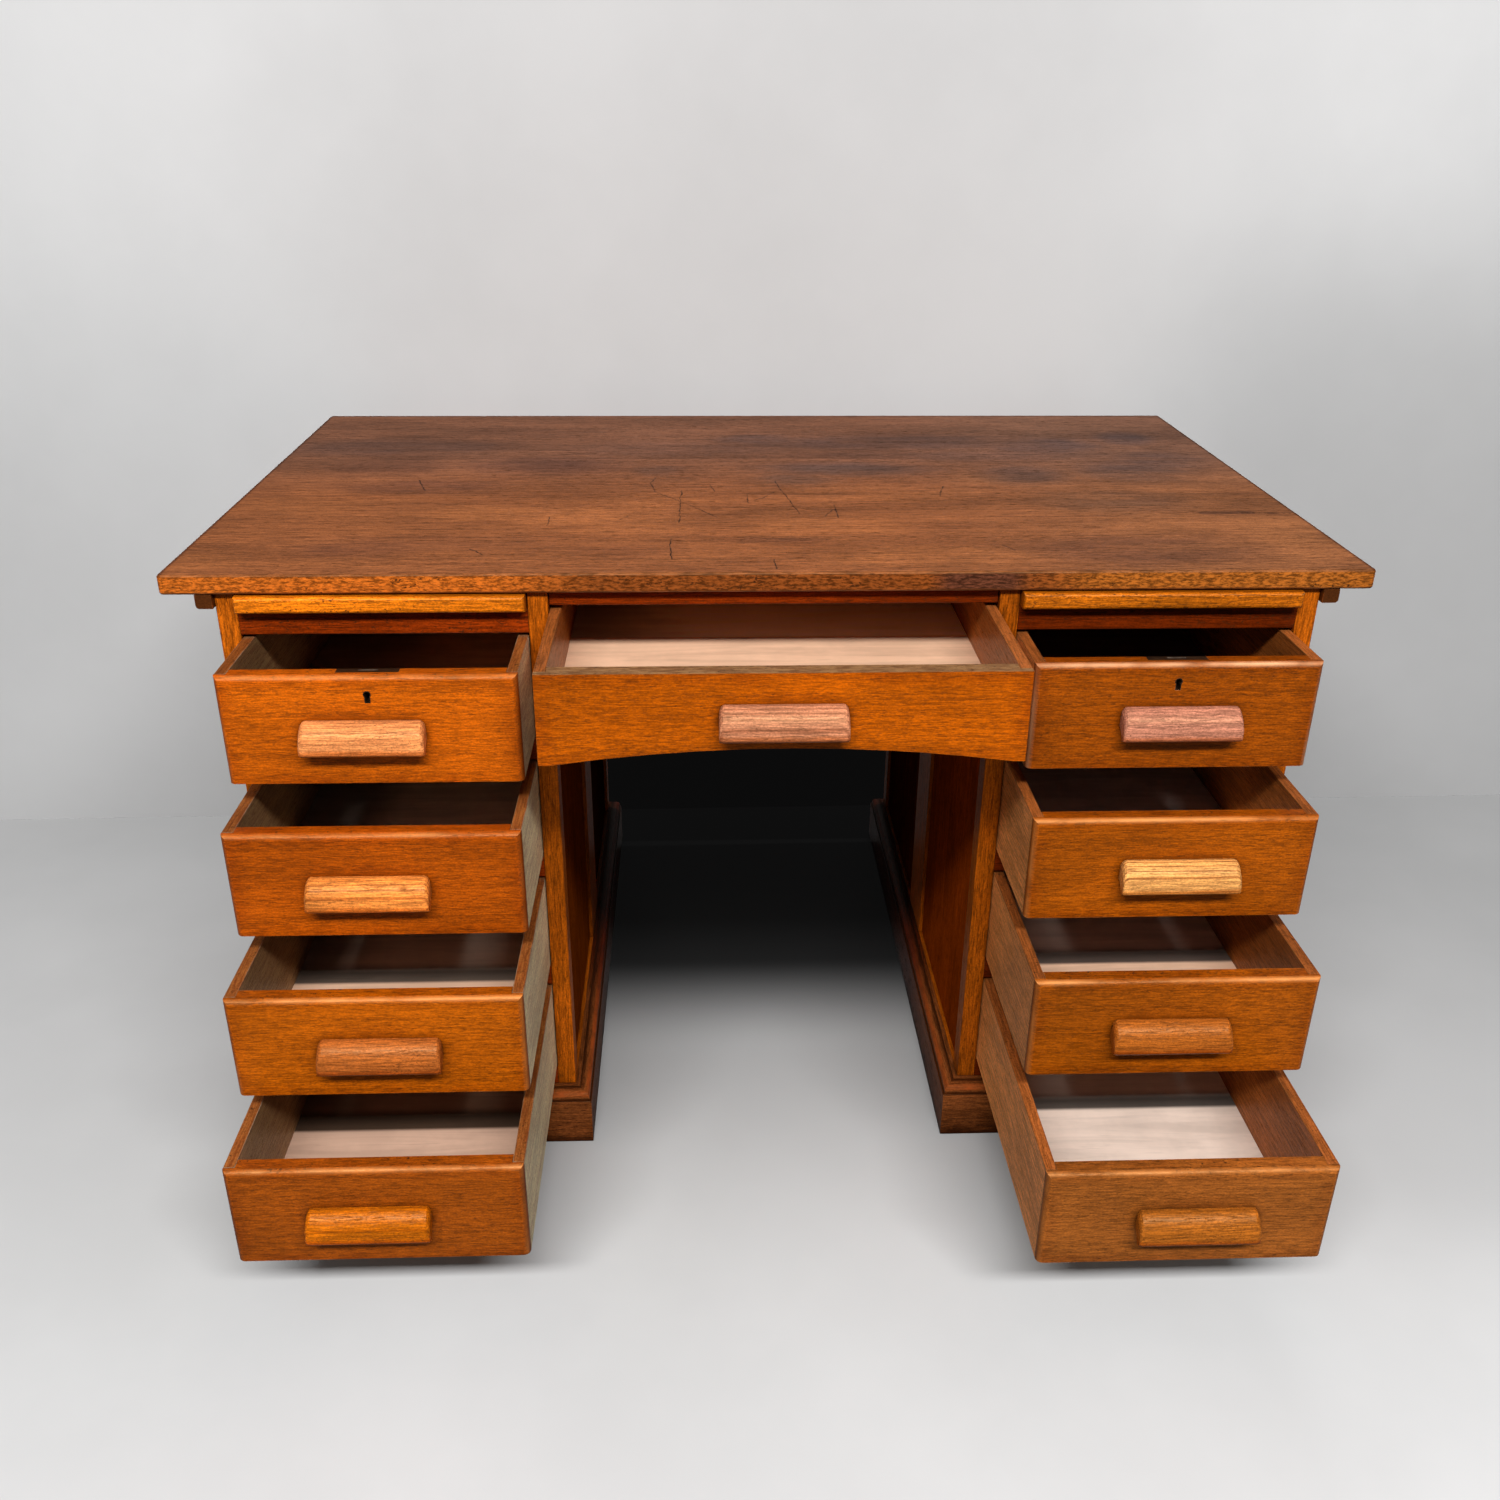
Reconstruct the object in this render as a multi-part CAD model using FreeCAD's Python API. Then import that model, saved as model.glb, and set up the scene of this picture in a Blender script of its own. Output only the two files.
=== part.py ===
import FreeCAD, Part
import os

# Kneehole desk with two drawer pedestals, a centre drawer and two pull-out writing slides.
# It stands as found: all nine drawers pulled out by different amounts, both slides pushed in.
# Millimetres. +X to the right of a person at the desk, +Y to the back, +Z up.
# The origin is at floor level, under the middle of the desk with its open drawers.

# The whole desk
desk_width = 1300.0
desk_depth = 780.0
desk_height = 760.0

# Desktop: planks glued edge to edge, running from side to side
top_thickness = 22.0
top_side_overhang = 54.0
top_front_overhang = 9.0
top_edge_radius = 3.0
top_corner_radius = 5.0
plank_shares = (0.17, 0.23, 0.24, 0.19, 0.17)

# Battens that hold the top, under its side overhangs
batten_width = 18.0
batten_height = 16.0
batten_setback = 1.0
batten_edge_radius = 4.0

# Pedestal frames
pedestal_width = 352.0
post_width = 22.0
post_depth = 28.0
muntin_width = 92.0
side_top_rail_height = 60.0
back_rail_thickness = 22.0
panel_thickness = 8.0
panel_recess = 5.0
groove_depth = 8.0
tenon_length = 12.0
arris_bevel = 0.8

# Front rails with the runners behind them
front_rail_height = 28.0
front_rail_depth = 60.0
front_tenon_height = 12.0
front_tenon_thickness = 10.0
front_tenon_setback = 6.0
tenon_wall = 1.0
slide_bay_height = 20.0
runner_width = 32.0
base_clearance = 2.0

# Plinth moulding: points out from the frame, and up from the floor
plinth_height = 80.0
plinth_projection = 20.0
moulding_height = 15.0
plinth_foot_bevel = 2.0
moulding_flat_shares = ((0.0, 0.0), (0.26, 0.0), (0.26, 0.16))
moulding_ovolo_shares = ((0.26, 0.16), (0.71, 0.36), (0.90, 0.82))
moulding_step_shares = ((0.90, 0.82), (0.90, 1.0), (1.0, 1.0))

# Pedestal drawers
drawers_per_pedestal = 4
drawer_side_clearance = 1.0
drawer_top_clearance = 4.0
running_gap = 0.3
front_thickness = 20.0
front_proud = 10.0
front_edge_radius = 7.5
lap_depth = 12.0
drawer_length = 680.0
side_thickness = 12.0
floor_thickness = 5.0
floor_height = 7.0
floor_groove = 6.0
back_drop = 5.0
drawer_travel = 480.0
left_open_shares = (0.206, 0.318, 0.466, 0.633)
right_open_shares = (0.169, 0.289, 0.443, 0.690)

# Centre drawer, with an arch along its lower edge
centre_side_clearance = 1.0
centre_drawer_height = 97.7
centre_drop = 23.0
arch_rise = 16.7
arch_end_flat = 12.0
centre_side_rise = 18.0
centre_drawer_length = 560.0
centre_travel = 380.0
centre_open_share = 0.471
centre_runner_width = 13.0
centre_runner_tail = 40.0
centre_runner_setback = 4.0
kicker_gap = 3.0

# Rails between the pedestals
centre_rail_height = 18.0
centre_rail_thickness = 22.0
centre_rail_recess = 4.0
centre_rail_end_gap = 1.0
back_rail_height = 120.0

# Wooden pulls; the section runs from the drawer front outwards and from the pull's foot upwards
pull_length = 128.0
pull_height = 34.0
pull_projection = 20.0
pull_edge_bevel = 1.0
pull_height_share = 0.455
centre_pull_height_share = 0.49
left_pull_shift_shares = (-0.026, -0.026, 0.007, -0.030)
right_pull_shift_shares = (0.023, 0.029, -0.007, 0.032)
pull_crown_shares = ((0.22, 1.0), (0.78, 0.70), (1.0, 0.23))
pull_nose_shares = ((1.0, 0.23), (0.93, 0.04), (0.74, 0.0))
pull_scoop_shares = ((0.62, 0.07), (0.44, 0.33), (0.0, 0.47))

# Writing slides
slide_thickness = 18.2
slide_board_thickness = 14.0
slide_length = 430.0
slide_lip_depth = 30.0
slide_lip_proud = 16.0
slide_lip_radius = 4.0
slide_tongue = 8.0
slide_tongue_thickness = 6.0

# Locks of the two top drawers
lock_width = 50.0
lock_case_height = 35.0
lock_case_depth = 13.0
lock_case_proud = 3.5
lock_plate_depth = 10.0
lock_case_drop = 3.0
lock_plate_width = 64.0
lock_plate_thickness = 1.5
bolt_width = 20.0
bolt_thickness = 3.5
bolt_height = 16.0
bolt_inset = 1.2
bolt_gap = 0.3
bolt_travel = 9.0
mortise_gap = 1.0
mortise_spare = 2.0
keyhole_radius = 3.0
keyhole_slot_width = 4.0
keyhole_drop = 8.5
keyhole_below_top = 20.5
keyhole_case_depth = 3.0
liner_wall = 1.0

# Places that follow from the sizes above
cut_overrun = 5.0
carcass_top = desk_height - top_thickness
pedestal_depth = desk_depth - 2 * top_front_overhang
pedestal_half = pedestal_width / 2
bay_half = pedestal_half - post_width
pedestal_centre = desk_width / 2 - top_side_overhang - pedestal_half
kneehole_half = pedestal_centre - pedestal_half
panel_face = pedestal_half - panel_recess
panel_back = panel_face - panel_thickness
back_panel_face = pedestal_depth - panel_recess
back_panel_front = back_panel_face - panel_thickness
back_rail_front = pedestal_depth - back_rail_thickness
front_tenon_length = post_width - panel_recess - panel_thickness - tenon_wall
front_height_space = carcass_top - slide_bay_height - plinth_height + base_clearance
bay_pitch = (front_height_space - front_rail_height) / drawers_per_pedestal
bay_height = bay_pitch - front_rail_height
drawer_height = bay_height - drawer_top_clearance - running_gap
drawer_half = bay_half - drawer_side_clearance
centre_half = kneehole_half - centre_side_clearance
widest_open = drawer_travel * max(left_open_shares + right_open_shares)
front_reach = front_proud + widest_open + pull_projection
plinth_back = pedestal_depth + plinth_projection
middle_y = (plinth_back - front_reach) / 2


def rail_top(level):
    """Height of the upper face of a front rail, counted down from the one under the slide."""
    return carcass_top - slide_bay_height - level * bay_pitch


def drawer_foot(tier):
    """Height of the lower edge of a pedestal drawer, counted down from the top one."""
    return rail_top(tier + 1) + running_gap


def board(x_span, y_span, z_span):
    """Straight board between two places along each axis."""
    x_low, x_high = sorted(x_span)
    corner = FreeCAD.Vector(x_low, y_span[0], z_span[0])
    return Part.makeBox(x_high - x_low, y_span[1] - y_span[0], z_span[1] - z_span[0], corner)


def runs_along(edge, axis):
    """True when a straight edge lies along one of the three axes."""
    start, end = edge.Vertexes[0].Point, edge.Vertexes[-1].Point
    way = end - start
    parts = [abs(way.x), abs(way.y), abs(way.z)]
    return parts[axis] > 0 and sum(parts) - parts[axis] < Part.Precision.confusion()


def bevelled(shape, axis):
    """Shape with the sharp arrises along one axis taken off."""
    return shape.makeChamfer(arris_bevel, [edge for edge in shape.Edges if runs_along(edge, axis)])


def edges_at(shape, axis, place):
    """Edges that lie wholly in the plane across an axis at a place."""
    found = []
    for edge in shape.Edges:
        corners = [vertex.Point[axis] for vertex in edge.Vertexes]
        if all(abs(corner - place) < Part.Precision.confusion() for corner in corners):
            found.append(edge)
    return found


def write(node, solids, shift_x=0.0, shift_y=0.0, shift_z=0.0):
    """Put the solids of one node in the desk's frame and save them."""
    placed = []
    for solid in solids:
        moved = solid.copy()
        moved.translate(FreeCAD.Vector(shift_x, shift_y - middle_y, shift_z))
        placed.append(moved)
    shape = placed[0] if len(placed) == 1 else Part.makeCompound(placed)
    shape.exportStep(os.path.join("parts", node + ".step"))


def make_desktop():
    """Rounded board cut along its glue lines into planks."""
    half = desk_width / 2
    front, back = -top_front_overhang, desk_depth - top_front_overhang
    slab = board((-half, half), (front, back), (carcass_top, desk_height))
    slab = slab.makeFillet(top_corner_radius, [edge for edge in slab.Edges if runs_along(edge, 2)])
    rims = edges_at(slab, 2, desk_height) + edges_at(slab, 2, carcass_top)
    slab = slab.makeFillet(top_edge_radius, rims)
    planks = []
    y_low = front
    for share in plank_shares:
        y_high = y_low + share * desk_depth
        plank_room = board((-desk_width, desk_width), (y_low, y_high), (0, 2 * desk_height))
        planks.append(slab.common(plank_room).Solids[0])
        y_low = y_high
    write("desktop_planks", planks)


def make_top_battens():
    """Battens in the corner between the overhanging top and the outer side of each pedestal."""
    front = batten_setback - top_front_overhang
    back = desk_depth - top_front_overhang - batten_setback
    inner = pedestal_centre + pedestal_half
    battens = []
    for hand in (-1, 1):
        ends = (hand * inner, hand * (inner + batten_width))
        batten = board(ends, (front, back), (carcass_top - batten_height, carcass_top))
        low_outer = [edge for edge in edges_at(batten, 2, carcass_top - batten_height)
                     if abs(edge.CenterOfMass.x - ends[1]) < Part.Precision.confusion()]
        battens.append(batten.makeFillet(batten_edge_radius, low_outer))
    write("top_battens", battens)


def make_rails_between_pedestals():
    """Narrow rail over the centre drawer and a deeper one at the back."""
    half = kneehole_half - centre_rail_end_gap
    front = board((-half, half), (centre_rail_recess, centre_rail_recess + centre_rail_thickness),
                  (carcass_top - centre_rail_height, carcass_top))
    write("centre_top_rail", [bevelled(front, 0)])
    back = board((-kneehole_half, kneehole_half), (back_rail_front, pedestal_depth),
                 (carcass_top - back_rail_height, carcass_top))
    write("centre_back_rail", [bevelled(back, 0)])


def make_pedestal_frame(side, centre_x):
    """Posts, muntins and rails of one pedestal, grooved for the panels, and the panels."""
    muntin_low = (pedestal_depth - muntin_width) / 2
    muntin_high = muntin_low + muntin_width
    rail_low = carcass_top - side_top_rail_height
    rear_post_front = pedestal_depth - post_depth
    rail_heights = ((0, plinth_height), (rail_low, carcass_top))
    grooved_heights = (plinth_height - groove_depth, rail_low + groove_depth)
    posts, muntins, rails, panels = [], [], [], []
    for hand in (-1, 1):
        thickness = (hand * bay_half, hand * pedestal_half)
        tongue = (hand * panel_back, hand * panel_face)
        for y_span in ((0, post_depth), (rear_post_front, pedestal_depth)):
            posts.append(bevelled(board(thickness, y_span, (0, carcass_top)), 2))
        muntin = board(thickness, (muntin_low, muntin_high), (plinth_height, rail_low))
        stub = board(tongue, (muntin_low + groove_depth, muntin_high - groove_depth), grooved_heights)
        muntins.append(muntin.fuse(stub).removeSplitter())
        for heights in rail_heights:
            rail = board(thickness, (post_depth, rear_post_front), heights)
            tenon = board(tongue, (post_depth - tenon_length, rear_post_front + tenon_length), heights)
            rails.append(rail.fuse(tenon).removeSplitter().cut(stub))
        for y_span in ((post_depth, muntin_low), (muntin_high, rear_post_front)):
            grooved_depths = (y_span[0] - groove_depth, y_span[1] + groove_depth)
            panels.append(board(tongue, grooved_depths, grooved_heights))
    reach = bay_half + front_tenon_length
    for heights in rail_heights:
        rail = board((-bay_half, bay_half), (back_rail_front, pedestal_depth), heights)
        tenon = board((-reach, reach), (back_panel_front, back_panel_face), heights)
        rails.append(rail.fuse(tenon).removeSplitter())
    panels.append(board((-reach, reach), (back_panel_front, back_panel_face), grooved_heights))
    for tenoned in rails + [front_rail(level) for level in range(drawers_per_pedestal + 1)]:
        posts = [post.cut(tenoned) for post in posts]
    frame = posts + muntins + rails
    for panel in panels:
        frame = [member.cut(panel) for member in frame]
    write(side + "_pedestal_frame", [member.Solids[0] for member in frame], centre_x)
    write(side + "_pedestal_panels", panels, centre_x)


def front_rail(level):
    """Rail across a pedestal's front, with a stub tenon at each end."""
    top = rail_top(level)
    middle = top - front_rail_height / 2
    rail = board((-bay_half, bay_half), (0, front_rail_depth), (top - front_rail_height, top))
    reach = bay_half + front_tenon_length
    tenon = board((-reach, reach), (front_tenon_setback, front_tenon_setback + front_tenon_thickness),
                  (middle - front_tenon_height / 2, middle + front_tenon_height / 2))
    return bevelled(rail, 0).fuse(tenon).removeSplitter()


def bolt_mortise():
    """Pocket in the rail over the top drawer that takes the lock's bolt when it is thrown."""
    rail_foot = rail_top(0) - front_rail_height
    half = bolt_width / 2 + mortise_gap
    y_low = front_thickness - front_proud - bolt_inset - bolt_thickness
    depth = bolt_travel - drawer_top_clearance + mortise_spare
    return board((-half, half), (y_low - mortise_gap, y_low + bolt_thickness + mortise_gap),
                 (rail_foot, rail_foot + depth))


def make_front_rails_and_runners(side, centre_x):
    """Five rails over the front and a pair of runners behind each of them."""
    rails = [front_rail(level) for level in range(drawers_per_pedestal + 1)]
    rails[0] = rails[0].cut(bolt_mortise())
    write(side + "_front_rails", rails, centre_x)
    runners = []
    for level in range(drawers_per_pedestal + 1):
        heights = (rail_top(level) - front_rail_height, rail_top(level))
        for hand in (-1, 1):
            ends = (hand * bay_half, hand * (bay_half - runner_width))
            runners.append(board(ends, (front_rail_depth, back_rail_front), heights))
    write(side + "_drawer_runners", runners, centre_x)


def moulding_point(out_share, down_share):
    """Point of the plinth's moulding, out from the frame and down from its top."""
    return FreeCAD.Vector(0, -out_share * plinth_projection, plinth_height - down_share * moulding_height)


def plinth_profile():
    """Section of the plinth: flat fillet, quirk, ovolo, step, plain face and bevelled foot."""
    foot = [FreeCAD.Vector(0, -plinth_projection, plinth_foot_bevel),
            FreeCAD.Vector(0, plinth_foot_bevel - plinth_projection, 0),
            FreeCAD.Vector(0, 0, 0), moulding_point(0, 0)]
    flat = [moulding_point(*shares) for shares in moulding_flat_shares]
    ovolo = [moulding_point(*shares) for shares in moulding_ovolo_shares]
    step = [moulding_point(*shares) for shares in moulding_step_shares] + foot
    edges = [Part.LineSegment(a, b) for a, b in zip(flat, flat[1:])]
    edges.append(Part.Arc(*ovolo))
    edges.extend(Part.LineSegment(a, b) for a, b in zip(step, step[1:]))
    return Part.Face(Part.Wire([edge.toShape() for edge in edges]))


def make_plinth(side, centre_x):
    """Four moulded boards round the foot of a pedestal, mitred at the corners."""
    out = plinth_projection
    middle = FreeCAD.Vector(0, pedestal_depth / 2, 0)
    boards = []
    turns = ((0, pedestal_half, pedestal_depth / 2), (90, pedestal_depth / 2, pedestal_half),
             (180, pedestal_half, pedestal_depth / 2), (270, pedestal_depth / 2, pedestal_half))
    for angle, half_length, half_across in turns:
        profile = plinth_profile()
        profile.translate(FreeCAD.Vector(-half_length - out, 0, 0))
        length = profile.extrude(FreeCAD.Vector(2 * (half_length + out), 0, 0))
        corners = [(-half_length, 0), (half_length, 0), (half_length + out, -out),
                   (-half_length - out, -out), (-half_length, 0)]
        outline = Part.makePolygon([FreeCAD.Vector(x, y, 0) for x, y in corners])
        mitred = length.common(Part.Face(outline).extrude(FreeCAD.Vector(0, 0, plinth_height)))
        piece = mitred.Solids[0]
        piece.translate(FreeCAD.Vector(0, -half_across, 0))
        piece.rotate(FreeCAD.Vector(0, 0, 0), FreeCAD.Vector(0, 0, 1), angle)
        piece.translate(middle)
        boards.append(piece)
    write(side + "_plinth", boards, centre_x)


def make_writing_slide(side, centre_x):
    """Flat board with a rounded lipping that is also the grip, resting on the rail and runners."""
    foot = rail_top(0) + running_gap
    half = drawer_half
    lip_back = slide_lip_depth - slide_lip_proud
    lip = board((-half, half), (-slide_lip_proud, lip_back), (foot, foot + slide_thickness))
    lip = lip.makeFillet(slide_lip_radius, edges_at(lip, 1, -slide_lip_proud))
    tongue_foot = foot + (slide_board_thickness - slide_tongue_thickness) / 2
    plate = board((-half, half), (lip_back, slide_length), (foot, foot + slide_board_thickness))
    tongue = board((-half, half), (lip_back - slide_tongue, lip_back),
                   (tongue_foot, tongue_foot + slide_tongue_thickness))
    write(side + "_slide_board", [plate.fuse(tongue).removeSplitter()], centre_x)
    write(side + "_slide_lipping", [lip.cut(tongue)], centre_x)


def pull_curve(shares):
    """Round stretch of the pull's section through three points."""
    points = [FreeCAD.Vector(0, -out * pull_projection, up * pull_height) for out, up in shares]
    return Part.Arc(*points).toShape()


def make_pull(node, centre_x, face_y, centre_z):
    """Scooped wooden pull: a convex front over a hollow for the fingertips."""
    top = Part.LineSegment(FreeCAD.Vector(0, 0, pull_height), pull_curve(pull_crown_shares).firstVertex().Point)
    nose_end = pull_curve(pull_nose_shares).lastVertex().Point
    scoop = pull_curve(pull_scoop_shares)
    under = Part.LineSegment(nose_end, scoop.firstVertex().Point)
    back = Part.LineSegment(scoop.lastVertex().Point, FreeCAD.Vector(0, 0, pull_height))
    outline = Part.Wire([top.toShape(), pull_curve(pull_crown_shares), pull_curve(pull_nose_shares),
                         under.toShape(), scoop, back.toShape()])
    bar = Part.Face(outline).extrude(FreeCAD.Vector(pull_length, 0, 0))
    ends = edges_at(bar, 0, 0) + edges_at(bar, 0, pull_length)
    crowns = [edge for edge in ends
              if edge.Curve.TypeId == "Part::GeomCircle" and edge.CenterOfMass.z > pull_height / 2]
    bar = bar.makeChamfer(pull_edge_bevel, crowns)
    write(node, [bar], centre_x - pull_length / 2, face_y, centre_z - pull_height / 2)


def rounded_front(half, height):
    """Drawer front with its upper edge and both ends rounded over."""
    front = board((-half, half), (0, front_thickness), (0, height))
    face = [edge for edge in edges_at(front, 1, 0) if edge.CenterOfMass.z > 0]
    return front.makeFillet(front_edge_radius, face)


def arched_front(half, height):
    """Square-edged drawer front with an arch along its lower edge."""
    spring = half - arch_end_flat
    corners = [(spring, 0), (half, 0), (half, height), (-half, height), (-half, 0), (-spring, 0)]
    points = [FreeCAD.Vector(x, 0, z) for x, z in corners]
    edges = [Part.LineSegment(a, b).toShape() for a, b in zip(points, points[1:])]
    edges.append(Part.Arc(points[-1], FreeCAD.Vector(0, 0, arch_rise), points[0]).toShape())
    return Part.Face(Part.Wire(edges)).extrude(FreeCAD.Vector(0, front_thickness, 0))


def drawer_parts(front, half, height, length, side_foot):
    """Front with laps and a groove, grooved sides, back and floor, as one drawer's solids."""
    lap_front = front_thickness - lap_depth
    floor_foot = side_foot + floor_height
    floor_top = floor_foot + floor_thickness
    inner = half - side_thickness
    reach = inner + floor_groove
    floor = board((-reach, reach), (front_thickness - floor_groove, length), (floor_foot, floor_top))
    sides = []
    for hand in (-1, 1):
        side = board((hand * inner, hand * half), (lap_front, length), (side_foot, height))
        sides.append(side)
        front = front.cut(side)
    front = front.cut(floor)
    grooved = [side.cut(floor) for side in sides]
    back = board((-inner, inner), (length - side_thickness, length), (floor_top, height - back_drop))
    return front, grooved + [back], floor


def keyhole(radius, slot_width, drop, y_span):
    """Round hole over a narrow slot, as a solid along the key's way in."""
    run = y_span[1] - y_span[0]
    turned = Part.makeCylinder(radius, run, FreeCAD.Vector(0, y_span[0], 0), FreeCAD.Vector(0, 1, 0))
    slot = board((-slot_width / 2, slot_width / 2), y_span, (-drop, 0))
    return turned.fuse(slot).removeSplitter()


def drawer_lock(height):
    """Lock case with its top plate, keyhole liner, bolt, and the room that they take up."""
    case_back = front_thickness + lock_case_proud
    case_front = case_back - lock_case_depth
    case_foot = height - lock_case_drop - lock_case_height
    shell = board((-lock_width / 2, lock_width / 2), (case_front, case_back),
                  (case_foot, height - lock_case_drop))
    neck = board((-lock_width / 2, lock_width / 2), (case_front, front_thickness), (case_foot, height))
    plate = board((-lock_plate_width / 2, lock_plate_width / 2),
                  (front_thickness - lock_plate_depth, front_thickness),
                  (height - lock_plate_thickness, height))
    body = shell.fuse(neck).fuse(plate).removeSplitter()
    bolt_y = front_thickness - bolt_inset - bolt_thickness
    bolt_top = height - bolt_gap
    bolt = board((-bolt_width / 2, bolt_width / 2), (bolt_y, bolt_y + bolt_thickness),
                 (bolt_top - bolt_height, bolt_top))
    well = board((-bolt_width / 2 - bolt_gap, bolt_width / 2 + bolt_gap),
                 (bolt_y - bolt_gap, bolt_y + bolt_thickness + bolt_gap),
                 (bolt_top - bolt_height - bolt_gap, height + cut_overrun))
    key_z = height - keyhole_below_top
    opening = keyhole(keyhole_radius, keyhole_slot_width, keyhole_drop,
                      (-cut_overrun, case_front + keyhole_case_depth))
    opening.translate(FreeCAD.Vector(0, 0, key_z))
    liner = keyhole(keyhole_radius + liner_wall, keyhole_slot_width + 2 * liner_wall,
                    keyhole_drop + liner_wall, (0, case_front))
    liner.translate(FreeCAD.Vector(0, 0, key_z))
    room = body.fuse(liner)
    return [body.cut(well).cut(opening), liner.cut(opening)], bolt, room


def make_pedestal_drawer(side, tier_name, centre_x, tier, open_share, shift_share):
    """One drawer of a pedestal, pulled out by its share of the full travel."""
    node = side + "_" + tier_name + "_drawer"
    face_y = -front_proud - open_share * drawer_travel
    foot = drawer_foot(tier)
    front = rounded_front(drawer_half, drawer_height)
    front, box, floor = drawer_parts(front, drawer_half, drawer_height, drawer_length, 0.0)
    if tier == 0:
        lock, bolt, room = drawer_lock(drawer_height)
        front = front.cut(room)
        write(side + "_drawer_lock", lock, centre_x, face_y, foot)
        write(side + "_lock_bolt", [bolt], centre_x, face_y, foot)
    write(node + "_front", [front], centre_x, face_y, foot)
    write(node + "_box", box, centre_x, face_y, foot)
    write(node + "_floor", [floor], centre_x, face_y, foot)
    pull_x = centre_x + shift_share * 2 * drawer_half
    make_pull(node + "_pull", pull_x, face_y, foot + pull_height_share * drawer_height)


def make_centre_drawer():
    """Wide drawer over the kneehole, with the runners that carry it and the kickers above."""
    foot = carcass_top - centre_drop - centre_drawer_height
    face_y = -centre_open_share * centre_travel
    front = arched_front(centre_half, centre_drawer_height)
    front, box, floor = drawer_parts(front, centre_half, centre_drawer_height,
                                     centre_drawer_length, centre_side_rise)
    write("centre_drawer_front", [front], 0.0, face_y, foot)
    write("centre_drawer_box", box, 0.0, face_y, foot)
    write("centre_drawer_floor", [floor], 0.0, face_y, foot)
    make_pull("centre_drawer_pull", 0.0, face_y, foot + centre_pull_height_share * centre_drawer_height)
    tail = centre_drawer_length + centre_runner_tail
    runner_top = foot + centre_side_rise - running_gap
    kicker_foot = foot + centre_drawer_height + kicker_gap
    rail_back = centre_rail_recess + centre_rail_thickness
    carriers = []
    for hand in (-1, 1):
        ends = (hand * (kneehole_half - centre_runner_width), hand * kneehole_half)
        carriers.append(board(ends, (front_thickness + centre_runner_setback, tail), (foot, runner_top)))
        carriers.append(board(ends, (rail_back, tail), (kicker_foot, carcass_top)))
    write("centre_drawer_runners", carriers)


def main():
    os.makedirs("parts", exist_ok=True)
    make_desktop()
    make_top_battens()
    make_rails_between_pedestals()
    make_centre_drawer()
    tier_names = ("top", "upper", "lower", "bottom")
    hands = (("left", -pedestal_centre, left_open_shares, left_pull_shift_shares),
             ("right", pedestal_centre, right_open_shares, right_pull_shift_shares))
    for side, centre_x, open_shares, shift_shares in hands:
        make_pedestal_frame(side, centre_x)
        make_front_rails_and_runners(side, centre_x)
        make_plinth(side, centre_x)
        make_writing_slide(side, centre_x)
        for tier, tier_name in enumerate(tier_names):
            make_pedestal_drawer(side, tier_name, centre_x, tier, open_shares[tier], shift_shares[tier])


main()
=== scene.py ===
import math
import random
from collections import namedtuple

import bmesh
import bpy
from mathutils import Matrix, Vector


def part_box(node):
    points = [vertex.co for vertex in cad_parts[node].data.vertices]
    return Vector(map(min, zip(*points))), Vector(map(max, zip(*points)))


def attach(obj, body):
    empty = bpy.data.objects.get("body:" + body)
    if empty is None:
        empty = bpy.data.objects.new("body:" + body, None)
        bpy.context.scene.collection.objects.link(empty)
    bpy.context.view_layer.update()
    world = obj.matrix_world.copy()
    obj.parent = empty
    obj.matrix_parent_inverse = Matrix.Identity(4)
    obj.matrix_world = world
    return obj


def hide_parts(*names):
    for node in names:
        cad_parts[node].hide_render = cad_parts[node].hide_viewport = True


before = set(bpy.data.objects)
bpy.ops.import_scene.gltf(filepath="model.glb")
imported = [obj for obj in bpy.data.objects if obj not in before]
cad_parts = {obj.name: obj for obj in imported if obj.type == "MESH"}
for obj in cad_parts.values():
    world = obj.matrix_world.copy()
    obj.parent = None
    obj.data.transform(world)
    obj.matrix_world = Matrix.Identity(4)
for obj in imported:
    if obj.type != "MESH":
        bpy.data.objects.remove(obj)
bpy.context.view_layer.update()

# Metres, in the desk's own frame: +X to the right of a person at the desk, +Y to the back, +Z up.
MM = 0.001
ACROSS, DEEP, UP = 0, 1, 2
SIDES = ("left", "right")
TIERS = ("top", "upper", "lower", "bottom")
chance = random.Random(41)

# Sizes that the boards made here share with the solids
POST_WIDTH, POST_DEPTH = 22 * MM, 28 * MM
MUNTIN_WIDTH = 92 * MM
TOP_RAIL = 60 * MM
BACK_RAIL = 22 * MM
PLINTH_HEIGHT, PLINTH_OUT, MOULDING = 80 * MM, 20 * MM, 15 * MM
DRAWER_SIDE, DRAWER_BACK_DROP, DRAWER_FLOOR_TOP = 12 * MM, 5 * MM, 12 * MM
PLANK_SHARES = (0.17, 0.23, 0.24, 0.19, 0.17)

# Rounding of edges, and the limits that join a solid's loose triangles into flat faces and find its edges
BOARD_ARRIS, SOLID_ARRIS, PULL_ARRIS, PLINTH_ARRIS = 0.8 * MM, 0.6 * MM, 0.7 * MM, 0.6 * MM
DESKTOP_ARRIS, DESKTOP_CORNER = 3 * MM, 5 * MM
SAME_PLACE = 0.01 * MM
FLAT_TURN, ARRIS_TURN, SMOOTH_TURN = math.radians(1), math.radians(32), math.radians(40)

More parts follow.
